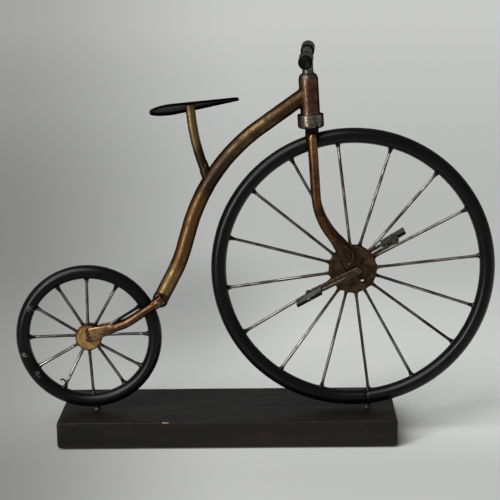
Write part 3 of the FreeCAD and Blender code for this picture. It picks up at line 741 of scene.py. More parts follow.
def wood_finish():
    """Near-black stained wood: long grain, rubbed edges, a chipped one and a little dust."""
    tree, shader, vector = start_finish("stained_wood")
    grain = noise(tree, stretched(tree, vector, (0.05, 1, 1)), 420.0, 6.0, 0.65)
    broad = noise(tree, stretched(tree, vector, (0.12, 1, 1)), 60.0, 4.0)
    colour = blend(tree, ramp(tree, broad, 0.3, 0.7), solid((0.0035, 0.003, 0.003)),
                   solid((0.008, 0.0068, 0.006)))
    colour = blend(tree, ramp(tree, grain, 0.55, 0.75, 0.0, 0.55), colour,
                   solid((0.022, 0.017, 0.013)))
    reddish = ramp(tree, noise(tree, vector, 55.0, 5.0), 0.55, 0.7, 0.0, 0.35)
    colour = blend(tree, reddish, colour, solid((0.024, 0.009, 0.0075)))
    worn = use(tree, "Rubbed corners", Vector=vector, Start=0.53, Full=0.60, Amount=1.0)["Mask"]
    colour = blend(tree, worn, colour, solid((0.20, 0.14, 0.11)))
    for x in (-101.2, -99.0, -96.8):
        chip = near(tree, vector, (x, -51.5, 32.0), 1.4, 1.8)
        colour = blend(tree, chip, colour, solid((0.50, 0.33, 0.21)))
    colour = dusted(tree, vector, colour, 0.02, (0.4, 0.38, 0.34))
    gloss = ramp(tree, grain, 0.3, 0.75, 0.36, 0.54)
    paint(tree, shader, colour, gloss, Specular_IOR_Level=0.25)
    height = calc(tree, "ADD", times(tree, grain, 0.6), times(tree, broad, 0.4))
    bump_by(tree, shader, height, 0.3, 0.35)


def black_finish(name, dark, pale, smooth, rough, wear, dust, specular=0.25, depth=0.08,
                 worn_tone=(0.06, 0.06, 0.057)):
    """Black paint or rubber with faint clouds, grey rubbed corners and dust."""
    tree, shader, vector = start_finish(name)
    patina = clouds(tree, vector, dark, pale, [value * 2 for value in pale], 12, 1.2, 0.25)
    worn = use(tree, "Rubbed corners", Vector=vector, Amount=wear)["Mask"]
    colour = blend(tree, worn, patina["Color"], solid(worn_tone))
    colour = dusted(tree, vector, colour, dust, (0.35, 0.34, 0.31))
    gloss = ramp(tree, noise(tree, vector, 140.0, 5.0), 0.3, 0.7, smooth, rough)
    paint(tree, shader, colour, gloss, Specular_IOR_Level=specular)
    rough_skin(tree, shader, vector, 0.8, 5, 0.5, depth)


def make_finishes():
    """Builds the shared groups and then every finish."""
    for build in (patina_group, wear_group, grime_group, dust_group, skin_group):
        build()
    ring_finish()
    wood_finish()
    wire_finish()
    # dark and pale tone, roughness of smooth and rough spots, wear, dust, specular level
    black_finish("black_gloss", (0.0012, 0.0012, 0.0014), (0.0025, 0.0025, 0.003), 0.2, 0.3,
                 0.3, 0.004, 0.008, depth=0.05)
    black_finish("grip_rubber", (0.0012, 0.0012, 0.0015), (0.003, 0.003, 0.0035), 0.30, 0.44,
                 0.5, 0.010, 0.2, worn_tone=(0.045, 0.045, 0.042))
    black_finish("pedal_rubber", (0.0022, 0.0022, 0.0022), (0.006, 0.006, 0.0055), 0.4, 0.6,
                 0.7, 0.45, 0.12, worn_tone=(0.13, 0.125, 0.115))
    black_finish("foot_rubber", (0.006, 0.006, 0.006), (0.012, 0.012, 0.012), 0.6, 0.8, 0.2, 0.0)
    # dark, medium and light tone, size of patches and flecks, share of flecks, roughness of
    # smooth and rough spots; in zones a place, its reach, its tone and how strongly it shows
    front_hub = (FRONT_AXLE.x / MM, 0, FRONT_AXLE.z / MM)
    stay_bend = (-187.0, 0, 120.0)
    rubbed_copper = (0.60, 0.46, 0.32)
    aged_metal("copper", (0.075, 0.033, 0.018), (0.29, 0.14, 0.064), (0.85, 0.56, 0.33),
               6, 1.2, 0.55, 0.26, 0.42, depth=0.5, wear_tone=rubbed_copper, edges=0.75, zones=(
                   (front_hub, 38, (0.055, 0.028, 0.016), 0.9),
                   ((60.5, 0, 416.0), 16, (0.15, 0.12, 0.10), 0.8),
                   ((61.0, 0, 366.0), 14, (0.21, 0.155, 0.11), 0.6),
                   # painted shade on the head tube's right side, away from the window lamp
                   ((69.5, -11, 385.0), 17, (0.075, 0.038, 0.030), 0.75),
                   (stay_bend, 28, (0.52, 0.30, 0.155), 0.6),
                   ((-120.0, 0, 150.0), 24, (0.070, 0.036, 0.019), 0.85),
                   ((-150.0, 0, 135.0), 24, (0.105, 0.060, 0.032), 0.8)),
               streaks=(stay_bend, 30, 13.0))
    aged_metal("blade_copper", (0.060, 0.023, 0.010), (0.165, 0.066, 0.023), (0.36, 0.18, 0.08),
               12, 1.6, 0.3, 0.24, 0.34, depth=0.08, wear_tone=rubbed_copper, edges=0.1,
               coat=0.25, zones=(
                   (front_hub, 38, (0.056, 0.029, 0.017), 0.9),
                   # golden tone on the upper blade's near side, which is also a painted highlight
                   # there
                   ((64.0, -11, 345.0), 24, (0.26, 0.13, 0.045), 0.6)))
    aged_metal("weld_copper", (0.060, 0.028, 0.016), (0.14, 0.070, 0.034), (0.52, 0.33, 0.19),
               4, 1.3, 0.5, 0.28, 0.46, depth=0.5, edges=0.25, zones=(
                   ((44.0, -4, 383.0), 14, (0.080, 0.036, 0.020), 0.7),
                   ((-192.0, 0, 119.0), 9, (0.028, 0.016, 0.010), 0.85)))
    aged_metal("bronze", (0.044, 0.027, 0.013), (0.132, 0.082, 0.036), (0.50, 0.36, 0.20),
               9, 1.0, 0.42, 0.36, 0.50, depth=0.32, edges=0.75, zones=(
                   ((-52.0, 0, 303.0), 28, (0.046, 0.029, 0.020), 0.85),
                   ((-32.0, 0, 327.0), 24, (0.065, 0.040, 0.026), 0.6),
                   ((-78.0, 0, 240.0), 44, (0.165, 0.085, 0.033), 0.75),
                   ((40.0, -5, 379.0), 17, (0.060, 0.031, 0.016), 0.8),
                   ((-66.0, 0, 358.0), 24, (0.30, 0.20, 0.085), 0.6),
                   ((-98.0, 0, 174.0), 26, (0.29, 0.19, 0.075), 0.6)))
    aged_metal("dark_bronze", (0.026, 0.016, 0.010), (0.080, 0.049, 0.025),
               (0.24, 0.165, 0.095), 7, 1.8, 0.3, 0.45, 0.62, metallic=0.75, depth=0.35,
               edges=0.3, wear_tone=(0.30, 0.26, 0.20))
    rear = WHEELS[1]
    gold_middle = (rear.axle + ACROSS * rear.disc_y("right")) / MM
    aged_metal("gold_disc", (0.27, 0.155, 0.056), (0.46, 0.285, 0.108), (0.62, 0.43, 0.20),
               5, 1.4, 0.3, 0.40, 0.52, metallic=0.7, edges=0.3,
               rim=(gold_middle, 13.2, (0.060, 0.034, 0.016)))
    aged_metal("pewter", (0.070, 0.056, 0.045), (0.21, 0.17, 0.135), (0.62, 0.54, 0.45),
               4, 1.2, 0.6, 0.26, 0.42, depth=0.3)
    # a paler copy of the pewter for the handlebar, sharing the pewter's slot: its extra pallor is
    # painted light
    aged_metal("bar_pewter", (0.20, 0.18, 0.15), (0.42, 0.37, 0.31), (0.66, 0.59, 0.51),
               6, 1.2, 0.5, 0.36, 0.50, edges=0.1)
    aged_metal("dark_steel", (0.004, 0.0036, 0.003), (0.012, 0.010, 0.009), (0.06, 0.05, 0.04),
               5, 1.4, 0.2, 0.35, 0.5, metallic=0.8)
    aged_metal("steel_stud", (0.03, 0.027, 0.024), (0.09, 0.084, 0.075), (0.24, 0.225, 0.20),
               2, 0.8, 0.4, 0.5, 0.65, edges=0.3)
    aged_metal("aged_brass", (0.048, 0.036, 0.024), (0.20, 0.16, 0.105), (0.62, 0.54, 0.43),
               4, 1.1, 0.5, 0.26, 0.42, depth=0.25, zones=(
                   ((88.0, -19, 181.0), 30, (0.065, 0.045, 0.028), 0.7),))


# ---------------------------------------------------------------- pieces

def stood(base, way):
    """Matrix that stands a piece made along +Z on base, along way, with its X in the wheel."""
    z_axis = way.normalized()
    x_axis = ACROSS.cross(z_axis).normalized()
    y_axis = z_axis.cross(x_axis)
    turn = Matrix((x_axis, y_axis, z_axis)).transposed().to_4x4()
    return Matrix.Translation(base) @ turn


class Wheel:
    """Measures of one wheel: radii of its ring, tube and discs, and how its spokes stand."""

    def __init__(self, name, axle, disc, offs):
        self.name = name
        self.axle = axle
        self.disc = disc
        self.offs = offs
        self.tube = span(name + "_ring").y / 2
        self.ring = span(name + "_ring").x / 2 - self.tube
        self.inner = self.ring - self.tube
        self.thickness = span(name + "_hub_disc_right").y

    def disc_y(self, side_name):
        """Y of one hub disc's middle."""
        return middle(f"{self.name}_hub_disc_{side_name}").y

    def ways(self, settings, side):
        """Directions of every second spoke: the even ones belong to the right disc."""
        first = getattr(settings, self.name + "_first")
        for index in range(0 if side < 0 else 1, len(self.offs), 2):
            even = math.radians(360.0 * index / len(self.offs) + self.offs[index])
            yield Vector((math.sin(first + even), 0, math.cos(first + even)))


# name, axle, radius of the hub discs, how the spokes stand
WHEELS = (
    Wheel("front", FRONT_AXLE, 26.8 * MM, FRONT_SPOKE_ANGLES),
    Wheel("rear", REAR_AXLE, 14.9 * MM, REAR_SPOKE_ANGLES),
)


def flare(name, loops):
    """A closed horn along +Z: loops hold height, half width along X and half width along Y."""
    height, wide, deep = loops[0]
    piece = open_ring(name, (0, 0, height), UP, wide, 16)
    swell((0, 0, height), (1, deep / wide, 1))
    for (low, wide, deep), (high, next_wide, next_deep) in zip(loops, loops[1:]):
        push((0, 0, high - low))
        swell((0, 0, high), (next_wide / wide, next_deep / deep, 1))
    close_up()
    return piece


def from_solid(node, name, voxel, rounds):
    """A piece begun as a merged copy of a node's solid, its corners softened."""
    piece = copy_of(frame["nodes"][node])
    piece.parent = None
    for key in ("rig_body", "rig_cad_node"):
        if key in piece:
            del piece[key]
    piece.name = name
    edit(piece)
    close_up()
    melt(piece, voxel, rounds)
    return piece


def weld_bead(name, first, second, proud):
    """Bead where two bars meet: the overlap of both, each that much thicker, melted soft.

    Each bar is given by its start, its end and its radius."""
    bars = []
    for start, end, radius in (first, second):
        long = (end - start).length
        profile = ((radius + proud, 0), (radius + proud, long / 2), (radius + proud, long))
        bars.append(turned(name, profile, start, end - start, 48))
    modify(bars[0], "BOOLEAN", operation="INTERSECT", object=bars[1], solver="EXACT")
    bpy.data.objects.remove(bars[1])
    melt(bars[0], 0.5 * MM, 6)
    work_by_hand(bars[0], 0.8 * MM, 0.005)
    return bars[0]


class PENNY_OT_plinth(Operator):
    """Wooden block with softened, knocked edges"""
    bl_idname = "penny.plinth"
    bl_label = "Plinth"

    def execute(self, context):
        settings = context.scene.penny_plinth
        centre = middle("plinth")
        size = span("plinth") - Vector((1, 1, 1)) * settings.dents
        piece = box("plinth_block", size, 0, centre)
        # both ends are rounder at the foot
        edit(piece)
        for end in (-1, 1):
            pick(piece, lambda spot: spot.z < centre.z and (spot.x - centre.x) * end > 0)
            bpy.ops.mesh.bevel(offset=settings.foot_round, segments=5, affect="EDGES")
        modify(piece, "BEVEL", width=settings.edge, segments=4, limit_method="ANGLE")
        # parts of 4 to 5 mm along and across, so that the dents have faces to move
        edit(piece)
        low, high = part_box("plinth")
        for axis, parts in ((0, 76), (1, 24)):
            for step in range(1, parts):
                at = Vector(low)
                at[axis] = low[axis] + (high[axis] - low[axis]) * step / parts
                cut(at, Matrix.Identity(3)[axis])
        work_by_hand(piece, settings.dents, 0.02)
        hand_in(piece, "stained_wood", "plinth")
        return {"FINISHED"}


class PENNY_OT_rings(Operator):
    """Both ring wheels: bent tube, the front one with a welded seam"""
    bl_idname = "penny.rings"
    bl_label = "Ring wheels"

    def execute(self, context):
        settings = context.scene.penny_wheels
        for wheel in WHEELS:
            hands_off()
            bpy.ops.mesh.primitive_torus_add(
                location=wheel.axle, rotation=(math.pi / 2, 0, 0), major_segments=240,
                minor_segments=40, major_radius=wheel.ring, minor_radius=wheel.tube)
            piece = context.object
            piece.name = wheel.name + "_ring_tube"
            keep_place()
            if wheel.name == "front":
                self.seam(piece, wheel, settings.seam_ahead)
            work_by_hand(piece, 0.25 * MM, 0.035)
            hand_in(piece, "black_ring", wheel.name + "_ring", crease=60)
        return {"FINISHED"}

    def seam(self, piece, wheel, ahead):
        """Narrow groove where the tube's two ends meet: three cuts, the middle one drawn in."""
        bearing = math.asin(ahead / wheel.ring)
        out = Vector((math.sin(bearing), 0, -math.cos(bearing)))
        along = Vector((out.z, 0, -out.x))
        centre = wheel.axle + out * wheel.ring
        edit(piece)
        for shift in (-0.7 * MM, 0.0, 0.7 * MM):
            cut(centre + along * shift, along)
        pick(piece, lambda at: abs((at - wheel.axle).dot(along)) < 0.1 * MM
             and (at - wheel.axle).dot(out) > 0)
        swell(centre, (0.95, 0.95, 0.95))


class PENNY_OT_spokes(Operator):
    """Wire spokes of both wheels and the black welds at their rim ends"""
    bl_idname = "penny.spokes"
    bl_label = "Spokes"

    def execute(self, context):
        settings = context.scene.penny_wheels
        # how far a wire starts outside its hub disc, and ends inside the ring's tube
        gap, bite = 1.5 * MM, 1.5 * MM
        for wheel in WHEELS:
            weld_places = []
            for side_name, side in SIDES:
                places = []
                for way in wheel.ways(settings, side):
                    foot = (wheel.axle + way * (wheel.disc + gap)
                            + ACROSS * wheel.disc_y(side_name))
                    end = wheel.axle + way * wheel.ring
                    places.append(stood(foot, end - foot))
                    weld_places.append(stood(wheel.axle + way * wheel.inner, way))
                reach = (end - foot).length - wheel.tube + bite
                name = f"{wheel.name}_wires_{side_name}"
                piece = self.wires(name, reach, settings, places)
                hand_in(piece, "spoke_steel", f"{wheel.name}_spokes_{side_name}")
            self.rim_welds(wheel, settings, weld_places)
        self.curl()
        return {"FINISHED"}

    def wires(self, name, reach, settings, places):
        """Straight wire copied to each place."""
        wire = open_ring(name, (0, 0, 0), UP, settings.spoke_diameter / 2, 14)
        push((0, 0, reach), 16)
        close_up()
        piece = copies(wire, places)
        work_by_hand(piece, 0.35 * MM, 0.012)
        return piece

    def curl(self):
        """Loose end of wire left on a rim weld of the rear wheel."""
        points = [mm(-213.8, -3, 58.0), mm(-215.6, -3, 64.6), mm(-217.6, -3, 67.9),
                  mm(-221.2, -3, 67.2)]
        piece = bent_tube("loose_wire_end", points, (3 * MM, 1.3 * MM), 0.95 * MM, 12, 0.6 * MM)
        swell(points[-1], (1.7, 1.2, 1.7))
        close_up()
        work_by_hand(piece, 0.3 * MM, 0.002)
        hand_in(piece, "black_ring", crease=70)

    def rim_welds(self, wheel, settings, places):
        """Horns of weld that spread along the ring's inside, all made from one."""
        wire = settings.spoke_diameter / 2
        climb = settings.weld_length
        foot = settings.weld_foot
        horn = flare(wheel.name + "_rim_welds", (
            (-climb * 1.6, wire * 1.02, wire * 1.02), (-climb, wire * 1.2, wire * 1.15),
            (-climb * 0.5, wire * 1.5, wire * 1.3), (-climb * 0.15, foot * 0.65, wire * 1.6),
            (climb * 0.15, foot, wire * 2.0), (climb * 0.5, foot * 1.1, wire * 2.0)))
        piece = copies(horn, places)
        work_by_hand(piece, 0.5 * MM, 0.004)
        hand_in(piece, "black_ring", crease=70)


class PENNY_OT_hubs(Operator):
    """Hub discs, each with the webs that hold its spokes"""
    bl_idname = "penny.hubs"
    bl_label = "Hubs"

    def execute(self, context):
        settings = context.scene.penny_wheels
        # finish of each wheel's right and left disc
        finishes = (("dark_bronze", "dark_bronze"), ("gold_disc", "pewter"))
        for wheel, pair in zip(WHEELS, finishes):
            for (side_name, side), finish in zip(SIDES, pair):
                piece = self.disc(wheel, side_name, side, settings)
                hand_in(piece, finish, f"{wheel.name}_hub_disc_{side_name}", crease=60)
        return {"FINISHED"}

    def disc(self, wheel, side_name, side, settings):
        """One disc with a web along each of its spokes; the front ones have a small hole."""
        centre = wheel.axle + ACROSS * wheel.disc_y(side_name)
        foot = getattr(settings, wheel.name + "_web")
        half = wheel.thickness / 2
        wire = settings.spoke_diameter / 2
        reach = settings.web_length
        plate = turned(f"{wheel.name}_disc_{side_name}",
                       rounded(wheel.disc, -half, half, 0.5 * MM), centre, ACROSS, 96)
        web = flare("web", (
            (-foot * 0.8, foot * 1.0, half * 0.9), (0.0, foot * 0.8, half * 1.1),
            (reach * 0.3, foot * 0.45, wire * 1.1), (reach * 0.65, wire * 1.25, wire * 1.15),
            (reach * 1.1, wire * 1.03, wire * 1.03)))
        places = []
        for way in wheel.ways(settings, side):
            rim = centre + way * wheel.disc
            end = wheel.axle + way * wheel.ring
            places.append(stood(rim, end - rim))
        webs = copies(web, places)
        piece = joined(plate.name, [plate, webs])
        melt(piece, 0.45 * MM, 3)
        work_by_hand(piece, 0.5 * MM, 0.006)
        if wheel.name == "front":
            drill(piece, beside(wheel.axle, 10.8, -13.7), 2.3 * MM, 30 * MM)
        return piece


class PENNY_OT_studs(Operator):
    """Short studs that hold the rings to the plinth, each with a bead of weld"""
    bl_idname = "penny.studs"
    bl_label = "Studs"

    def execute(self, context):
        for wheel in WHEELS:
            node = wheel.name + "_stud"
            low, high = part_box(node)
            foot = Vector((middle(node).x, 0, low[2]))
            tall = high[2] - low[2]
            radius = span(node).x / 2
            profile = ((radius * 1.35, 0), (radius * 1.3, 0.4 * MM), (radius * 1.02, 1.1 * MM),
                       (radius, tall * 0.5), (radius * 1.05, tall * 0.7), (radius * 1.3, tall),
                       (radius * 1.3, tall + 1.2 * MM))
            piece = turned(node + "_post", profile, foot, UP, 32)
            work_by_hand(piece, 0.4 * MM, 0.003)
            hand_in(piece, "steel_stud", node, crease=60)
        return {"FINISHED"}


class PENNY_OT_head(Operator):
    """Head tube, its rounded cap, the cup round its foot and the stem"""
    bl_idname = "penny.head"
    bl_label = "Steering head"

    def execute(self, context):
        settings = context.scene.penny_head
        sine, cosine = math.sin(settings.rake), math.cos(settings.rake)
        up = Vector((-sine, 0, cosine))
        tube = span("head_tube").y / 2
        low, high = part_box("head_tube")
        base = Vector((high[0] - cosine * tube, 0, low[2] + sine * tube))
        tall = (span("head_tube").z - 2 * tube * sine) / cosine
        top = base + up * tall
        shoulder = [(tube, 0), (tube, tall * 0.33), (tube, tall * 0.66), (tube, tall - 2 * MM)]
        cap_inset, cap_rise, cap_steps = 4.6 * MM, 7.2 * MM, 10
        for step in range(cap_steps + 1):
            turn = math.pi / 2 * step / cap_steps
            shoulder.append((tube - cap_inset * (1 - math.cos(turn)),
                             tall + cap_rise * math.sin(turn)))
        piece = turned("head_barrel", shoulder, base, up, 64)
        work_by_hand(piece, 0.3 * MM, 0.009)
        hand_in(piece, "copper", "head_tube", "head_cap", crease=60)

        outer = span("head_cup").y / 2
        inner = outer - settings.cup_wall
        floor = settings.cup_floor
        rim = settings.cup_height - floor
        profile = ((outer - 2.4 * MM, -floor), (outer - 1.6 * MM, -floor + 0.3 * MM),
                   (outer - 0.3 * MM, -floor + 1.5 * MM), (outer, -floor + 2.3 * MM),
                   (outer, 0), (outer, rim * 0.5), (outer, rim - 0.6 * MM),
                   (outer - 0.6 * MM, rim), (inner + 0.5 * MM, rim), (inner, rim - 0.5 * MM),
                   (inner, 0.6 * MM), (inner * 0.5, 0.1 * MM))
        piece = turned("head_cup_ring", profile, base, up, 64)
        work_by_hand(piece, 0.5 * MM, 0.007)
        hand_in(piece, "pewter", "head_cup", crease=40)
        self.stem(top, up)
        return {"FINISHED"}

    def stem(self, top, up):
        """Short post that widens where it is brazed to the shoulder and to the bar."""
        radius = span("stem").y / 2
        reach = (middle("handlebar") - top).dot(up)
        cap = 6.4 * MM
        profile = ((radius * 1.12, cap - 1 * MM), (radius * 1.06, cap + 0.8 * MM),
                   (radius * 0.97, cap + 3 * MM), (radius * 0.95, cap + 6 * MM),
                   (radius, reach - 6 * MM), (radius, reach - 1 * MM))
        piece = turned("bar_stem", profile, top, up, 40)
        work_by_hand(piece, 0.4 * MM, 0.006)
        hand_in(piece, "pewter", "stem", crease=60)


class PENNY_OT_handlebar(Operator):
    """Straight bar with two rubber grips"""
    bl_idname = "penny.handlebar"
    bl_label = "Handlebar"

    def execute(self, context):
        settings = context.scene.penny_head
        turn, tilt = settings.bar_turn, settings.bar_tilt
        way = Vector((math.sin(turn), math.cos(turn), math.sin(tilt))).normalized()
        centre = middle("handlebar")
        half = span("handlebar").y / 2 / way.y
        radius = settings.bar_diameter / 2
        piece = turned("steering_bar", rounded(radius, -half, half, 0.6 * MM), centre, way, 40)
        work_by_hand(piece, 0.3 * MM, 0.006)
        hand_in(piece, "bar_pewter", "handlebar", slot="pewter")
        for side_name, side in SIDES:
            self.grip(side_name, side, settings, centre, way, half)
        return {"FINISHED"}

    def grip(self, side_name, side, settings, centre, way, half):
        """Sleeve with a rolled inner rim, and an end with a raised ring round a dimple."""
        radius = 15.6 * MM / 2
        tall = settings.grip_length
        past_bar = 2.25 * MM
        # millimetres inside the sleeve's widest, and up from its start or down from its end
        from_start = ((0.6, 0), (0, 0.8), (0, 2.2), (0.35, 2.9))
        from_end = ((0.35, 4.5), (0, 3.6), (0, 1.2), (0.5, 0.3), (0.9, 0), (1.3, 0.5),
                    (1.6, 2.0), (2.2, 2.0), (2.6, 0.8), (3.1, 0.5), (3.7, 0.8), (4.3, 1.8),
                    (6.4, 2.1))
        profile = [(settings.bar_diameter / 2, 0.3 * MM)]
        profile += [(radius - inset * MM, up * MM) for inset, up in from_start]
        profile += [(radius - inset * MM, tall - down * MM) for inset, down in from_end]
        start = centre + way * side * (half + past_bar - tall)
        piece = turned("grip_sleeve_" + side_name, profile, start, way * side, 48)
        hand_in(piece, "grip_rubber", "grip_" + side_name)


# the backbone's front end and the middle of its arch, and the saddle post's foot and bend
HEAD_END = mm(63.0, 0, 390.8)
ARCH = mm(-49.0, 0, 312.2)
POST_FOOT = ARCH + mm(1.4, 0, -19.3)
POST_BEND = ARCH + mm(-14.2, 0, 29.2)


class PENNY_OT_backbone(Operator):
    """Arched backbone tube and the saddle post, with their weld"""
    bl_idname = "penny.backbone"
    bl_label = "Backbone"

    def execute(self, context):
        settings = context.scene.penny_tubes
        crown = middle("rear_crown")
        radius = settings.backbone_diameter / 2
        points = [HEAD_END, ARCH, crown + mm(22.9, 0, 43.1), crown]
        bends = (208 * MM, 150 * MM)
        piece = bent_tube("backbone_tube", points, bends, radius, 40)
        close_up()
        work_by_hand(piece, settings.dents * 1.6, 0.012)
        hand_in(piece, "bronze", "backbone")

        post_top = Vector(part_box("seat_post")[1]).z
        points = [Vector((-66.8 * MM, 0, post_top)), POST_BEND, POST_FOOT]
        piece = bent_tube("saddle_post", points, (220 * MM,), settings.post_diameter / 2, 32)
        close_up()
        work_by_hand(piece, settings.dents * 1.4, 0.008)
        hand_in(piece, "bronze", "seat_post")
        self.beads(settings, radius)
        return {"FINISHED"}

    def beads(self, settings, radius):
        """Beads of weld where the post meets the backbone, and the backbone the head."""
        along = Vector((0.56, 0, 0.83)) * 24 * MM
        spine = mm(-49.6, 0, 300.4)
        piece = weld_bead("post_weld", (POST_FOOT, POST_BEND, settings.post_diameter / 2),
                          (spine - along, spine + along, radius), 0.6 * MM)
        hand_in(piece, "bronze", crease=60)
        low, high = (Vector(corner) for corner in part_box("head_tube"))
        foot, top = Vector((high.x, 0, low.z)), Vector((low.x, 0, high.z))
        tube = span("head_tube").y / 2
        foot.x -= tube
        top.x += tube
        bar = (HEAD_END + (ARCH - HEAD_END) * 0.2, HEAD_END, radius)
        piece = weld_bead("head_weld", bar, (foot, top, tube), 0.7 * MM)
        hand_in(piece, "weld_copper", slot="copper", crease=60)


class PENNY_OT_saddle(Operator):
    """Sheet-metal saddle: a crowned teardrop pan with a turned-down edge"""
    bl_idname = "penny.saddle"
    bl_label = "Saddle"

    def execute(self, context):
        settings = context.scene.penny_saddle
        rear, nose = Vector(settings.rear), Vector(settings.nose)
        reach = (nose - rear).length
        piece = self.teardrop(settings, reach)
        self.crown(settings)
        self.skirt(piece, settings)
        modify(piece, "SOLIDIFY", thickness=settings.skin, offset=-1)
        modify(piece, "BEVEL", width=0.4 * MM, segments=3, limit_method="ANGLE",
               angle_limit=math.radians(50))
        work_by_hand(piece, 0.25 * MM, 0.02)
        piece.rotation_euler = (-settings.roll, 0, 0)
        keep_place()
        piece.rotation_euler = (0, -math.atan2(nose.z - rear.z, nose.x - rear.x), 0)
        piece.location = rear
        keep_place()
        hand_in(piece, "black_gloss", "saddle", crease=50)
        return {"FINISHED"}

    def teardrop(self, settings, reach):
        """Round loop whose front half is drawn out to the nose, the rear tip at the origin."""
        back, nose = settings.width / 2, settings.nose_width / 2
        piece = open_ring("saddle_pan", (back, 0, 0), UP, back, 96)
        pick(piece, lambda at: at.x > back + 0.1 * MM)
        swell((back, 0, 0), (nose / back, nose / back, 1))
        bpy.ops.transform.translate(value=(reach - back - nose, 0, 0))
        bpy.ops.mesh.select_all(action="SELECT")
        return piece

    def centre(self, settings):
        """Middle of the pan, about which its loops shrink."""
        return Vector((settings.width / 2 + 12 * MM, 0, 0))

    def crown(self, settings):
        """Low dome: smaller and smaller loops inside the edge, the last one filled."""
        centre = self.centre(settings)
        before, height = 1.0, 0.0
        for share in (0.9, 0.72, 0.54, 0.36, 0.18, 0.04):
            rise = settings.crown * (1 - share ** 2)
            push((0, 0, rise - height))
            swell(centre + UP * rise, (share / before, share / before, 1))
            before, height = share, rise
        bpy.ops.mesh.edge_face_add()

    def skirt(self, piece, settings):
        """Turns the edge down, the corner rounded over three steps."""
        centre = self.centre(settings)
        pick(piece, lambda at: abs(at.z) < 0.001 * MM)
        for drop, size in ((0.15, 1.012), (0.35, 1.006), (0.5, 1.0)):
            push((0, 0, -settings.skirt * drop))
            swell(centre, (size, size, 1))
        bpy.ops.mesh.select_all(action="SELECT")
        bpy.ops.mesh.normals_make_consistent(inside=False)


class PENNY_OT_front_fork(Operator):
    """Two fork blades, pressed flat at the axle, and the crown that straddles the ring"""
    bl_idname = "penny.front_fork"
    bl_label = "Front fork"

    def execute(self, context):
        settings = context.scene.penny_tubes
        radius = settings.blade_diameter / 2
        for side_name, _ in SIDES:
            y = middle("fork_blade_" + side_name).y
            top = Vector(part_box("fork_blade_" + side_name)[1]).z - radius
            points = [Vector((FRONT_AXLE.x - 44.675 * MM, y, top)),
                      beside(FRONT_AXLE, -39.675, 62.0, y), beside(FRONT_AXLE, -22.975, 39.3, y)]
            piece = bent_tube("fork_tube_" + side_name, points, (80 * MM,), radius, 32)
            self.press(points[2], (points[2] - points[1]).normalized(), y, radius)
            close_up()
            self.dome(piece, points[0], radius)
            work_by_hand(piece, settings.dents, 0.01)
            hand_in(piece, "blade_copper", "fork_blade_" + side_name, slot="copper", crease=50)
        self.crown()
        self.lip(middle("fork_blade_right").y - 2.6 * MM)
        return {"FINISHED"}

    def lip(self, y):
        """Line of weld down the right blade's front edge, and a lump at its end."""
        points = [beside(FRONT_AXLE, ahead, up, y)
                  for ahead, up in ((-9.5, 29.0), (1.0, 20.5), (-1.7, 12.6))]
        line = bent_tube("line", points, (7 * MM,), 1.0 * MM, 16, 1.2 * MM)
        close_up()
        profile = [(radius * MM, height * MM) for radius, height in (
            (0.8, -1.6), (1.8, -1.0), (2.2, 0), (1.7, 1.0), (0.6, 1.5))]
        lump = turned("lump", profile, beside(FRONT_AXLE, -3.9, 8.9, y), ACROSS, 24)
        piece = joined("blade_end_weld", [line, lump])
        work_by_hand(piece, 1.2 * MM, 0.003)
        hand_in(piece, "dark_bronze", slot="copper", crease=60)

    def press(self, start, way, y, radius):
        """Flattens the tube step by step, then runs on to a round end at the axle."""
        wide, flat, run = 7.5 * MM, 2.25 * MM, 22 * MM
        shares = (0, 0.2, 0.4, 0.6, 0.8, 1.0)
        step = way * (run * 0.2)
        here = start
        for before, after in zip(map(self.eased, shares), map(self.eased, shares[1:])):
            here = here + step
            push(step)
            grow = (radius + (wide - radius) * after) / (radius + (wide - radius) * before)
            thin = (radius + (flat - radius) * after) / (radius + (flat - radius) * before)
            swell(here, (grow, thin, grow))
        axle = beside(FRONT_AXLE, 0, 0, y)
        onward = axle - here
        push(onward)
        here = axle
        width = wide
        for reach in (2.5 * MM, 2.2 * MM, 1.5 * MM, 0.8 * MM):
            step = onward.normalized() * reach
            here = here + step
            after = math.sqrt(max(0.04, 1 - ((here - axle).length / wide) ** 2)) * wide
            push(step)
            swell(here, (after / width, 1, after / width))
            width = after

    def eased(self, share):
        """Share of the flattening that is done, slow at both ends."""
        return share * share * (3 - 2 * share)

    def dome(self, piece, top, radius):
        """Closes the blade's upper end with a dome."""
        hands_off()
        bpy.ops.mesh.primitive_uv_sphere_add(segments=32, ring_count=16, radius=radius,
                                             location=top)
        joined(piece.name, [piece, bpy.context.object])

    def crown(self):
        """Blackened block between cup and ring."""
        piece = from_solid("fork_crown", "fork_crown_block", 0.5 * MM, 3)
        work_by_hand(piece, 0.6 * MM, 0.005)
        hand_in(piece, "dark_steel", "fork_crown", crease=60)


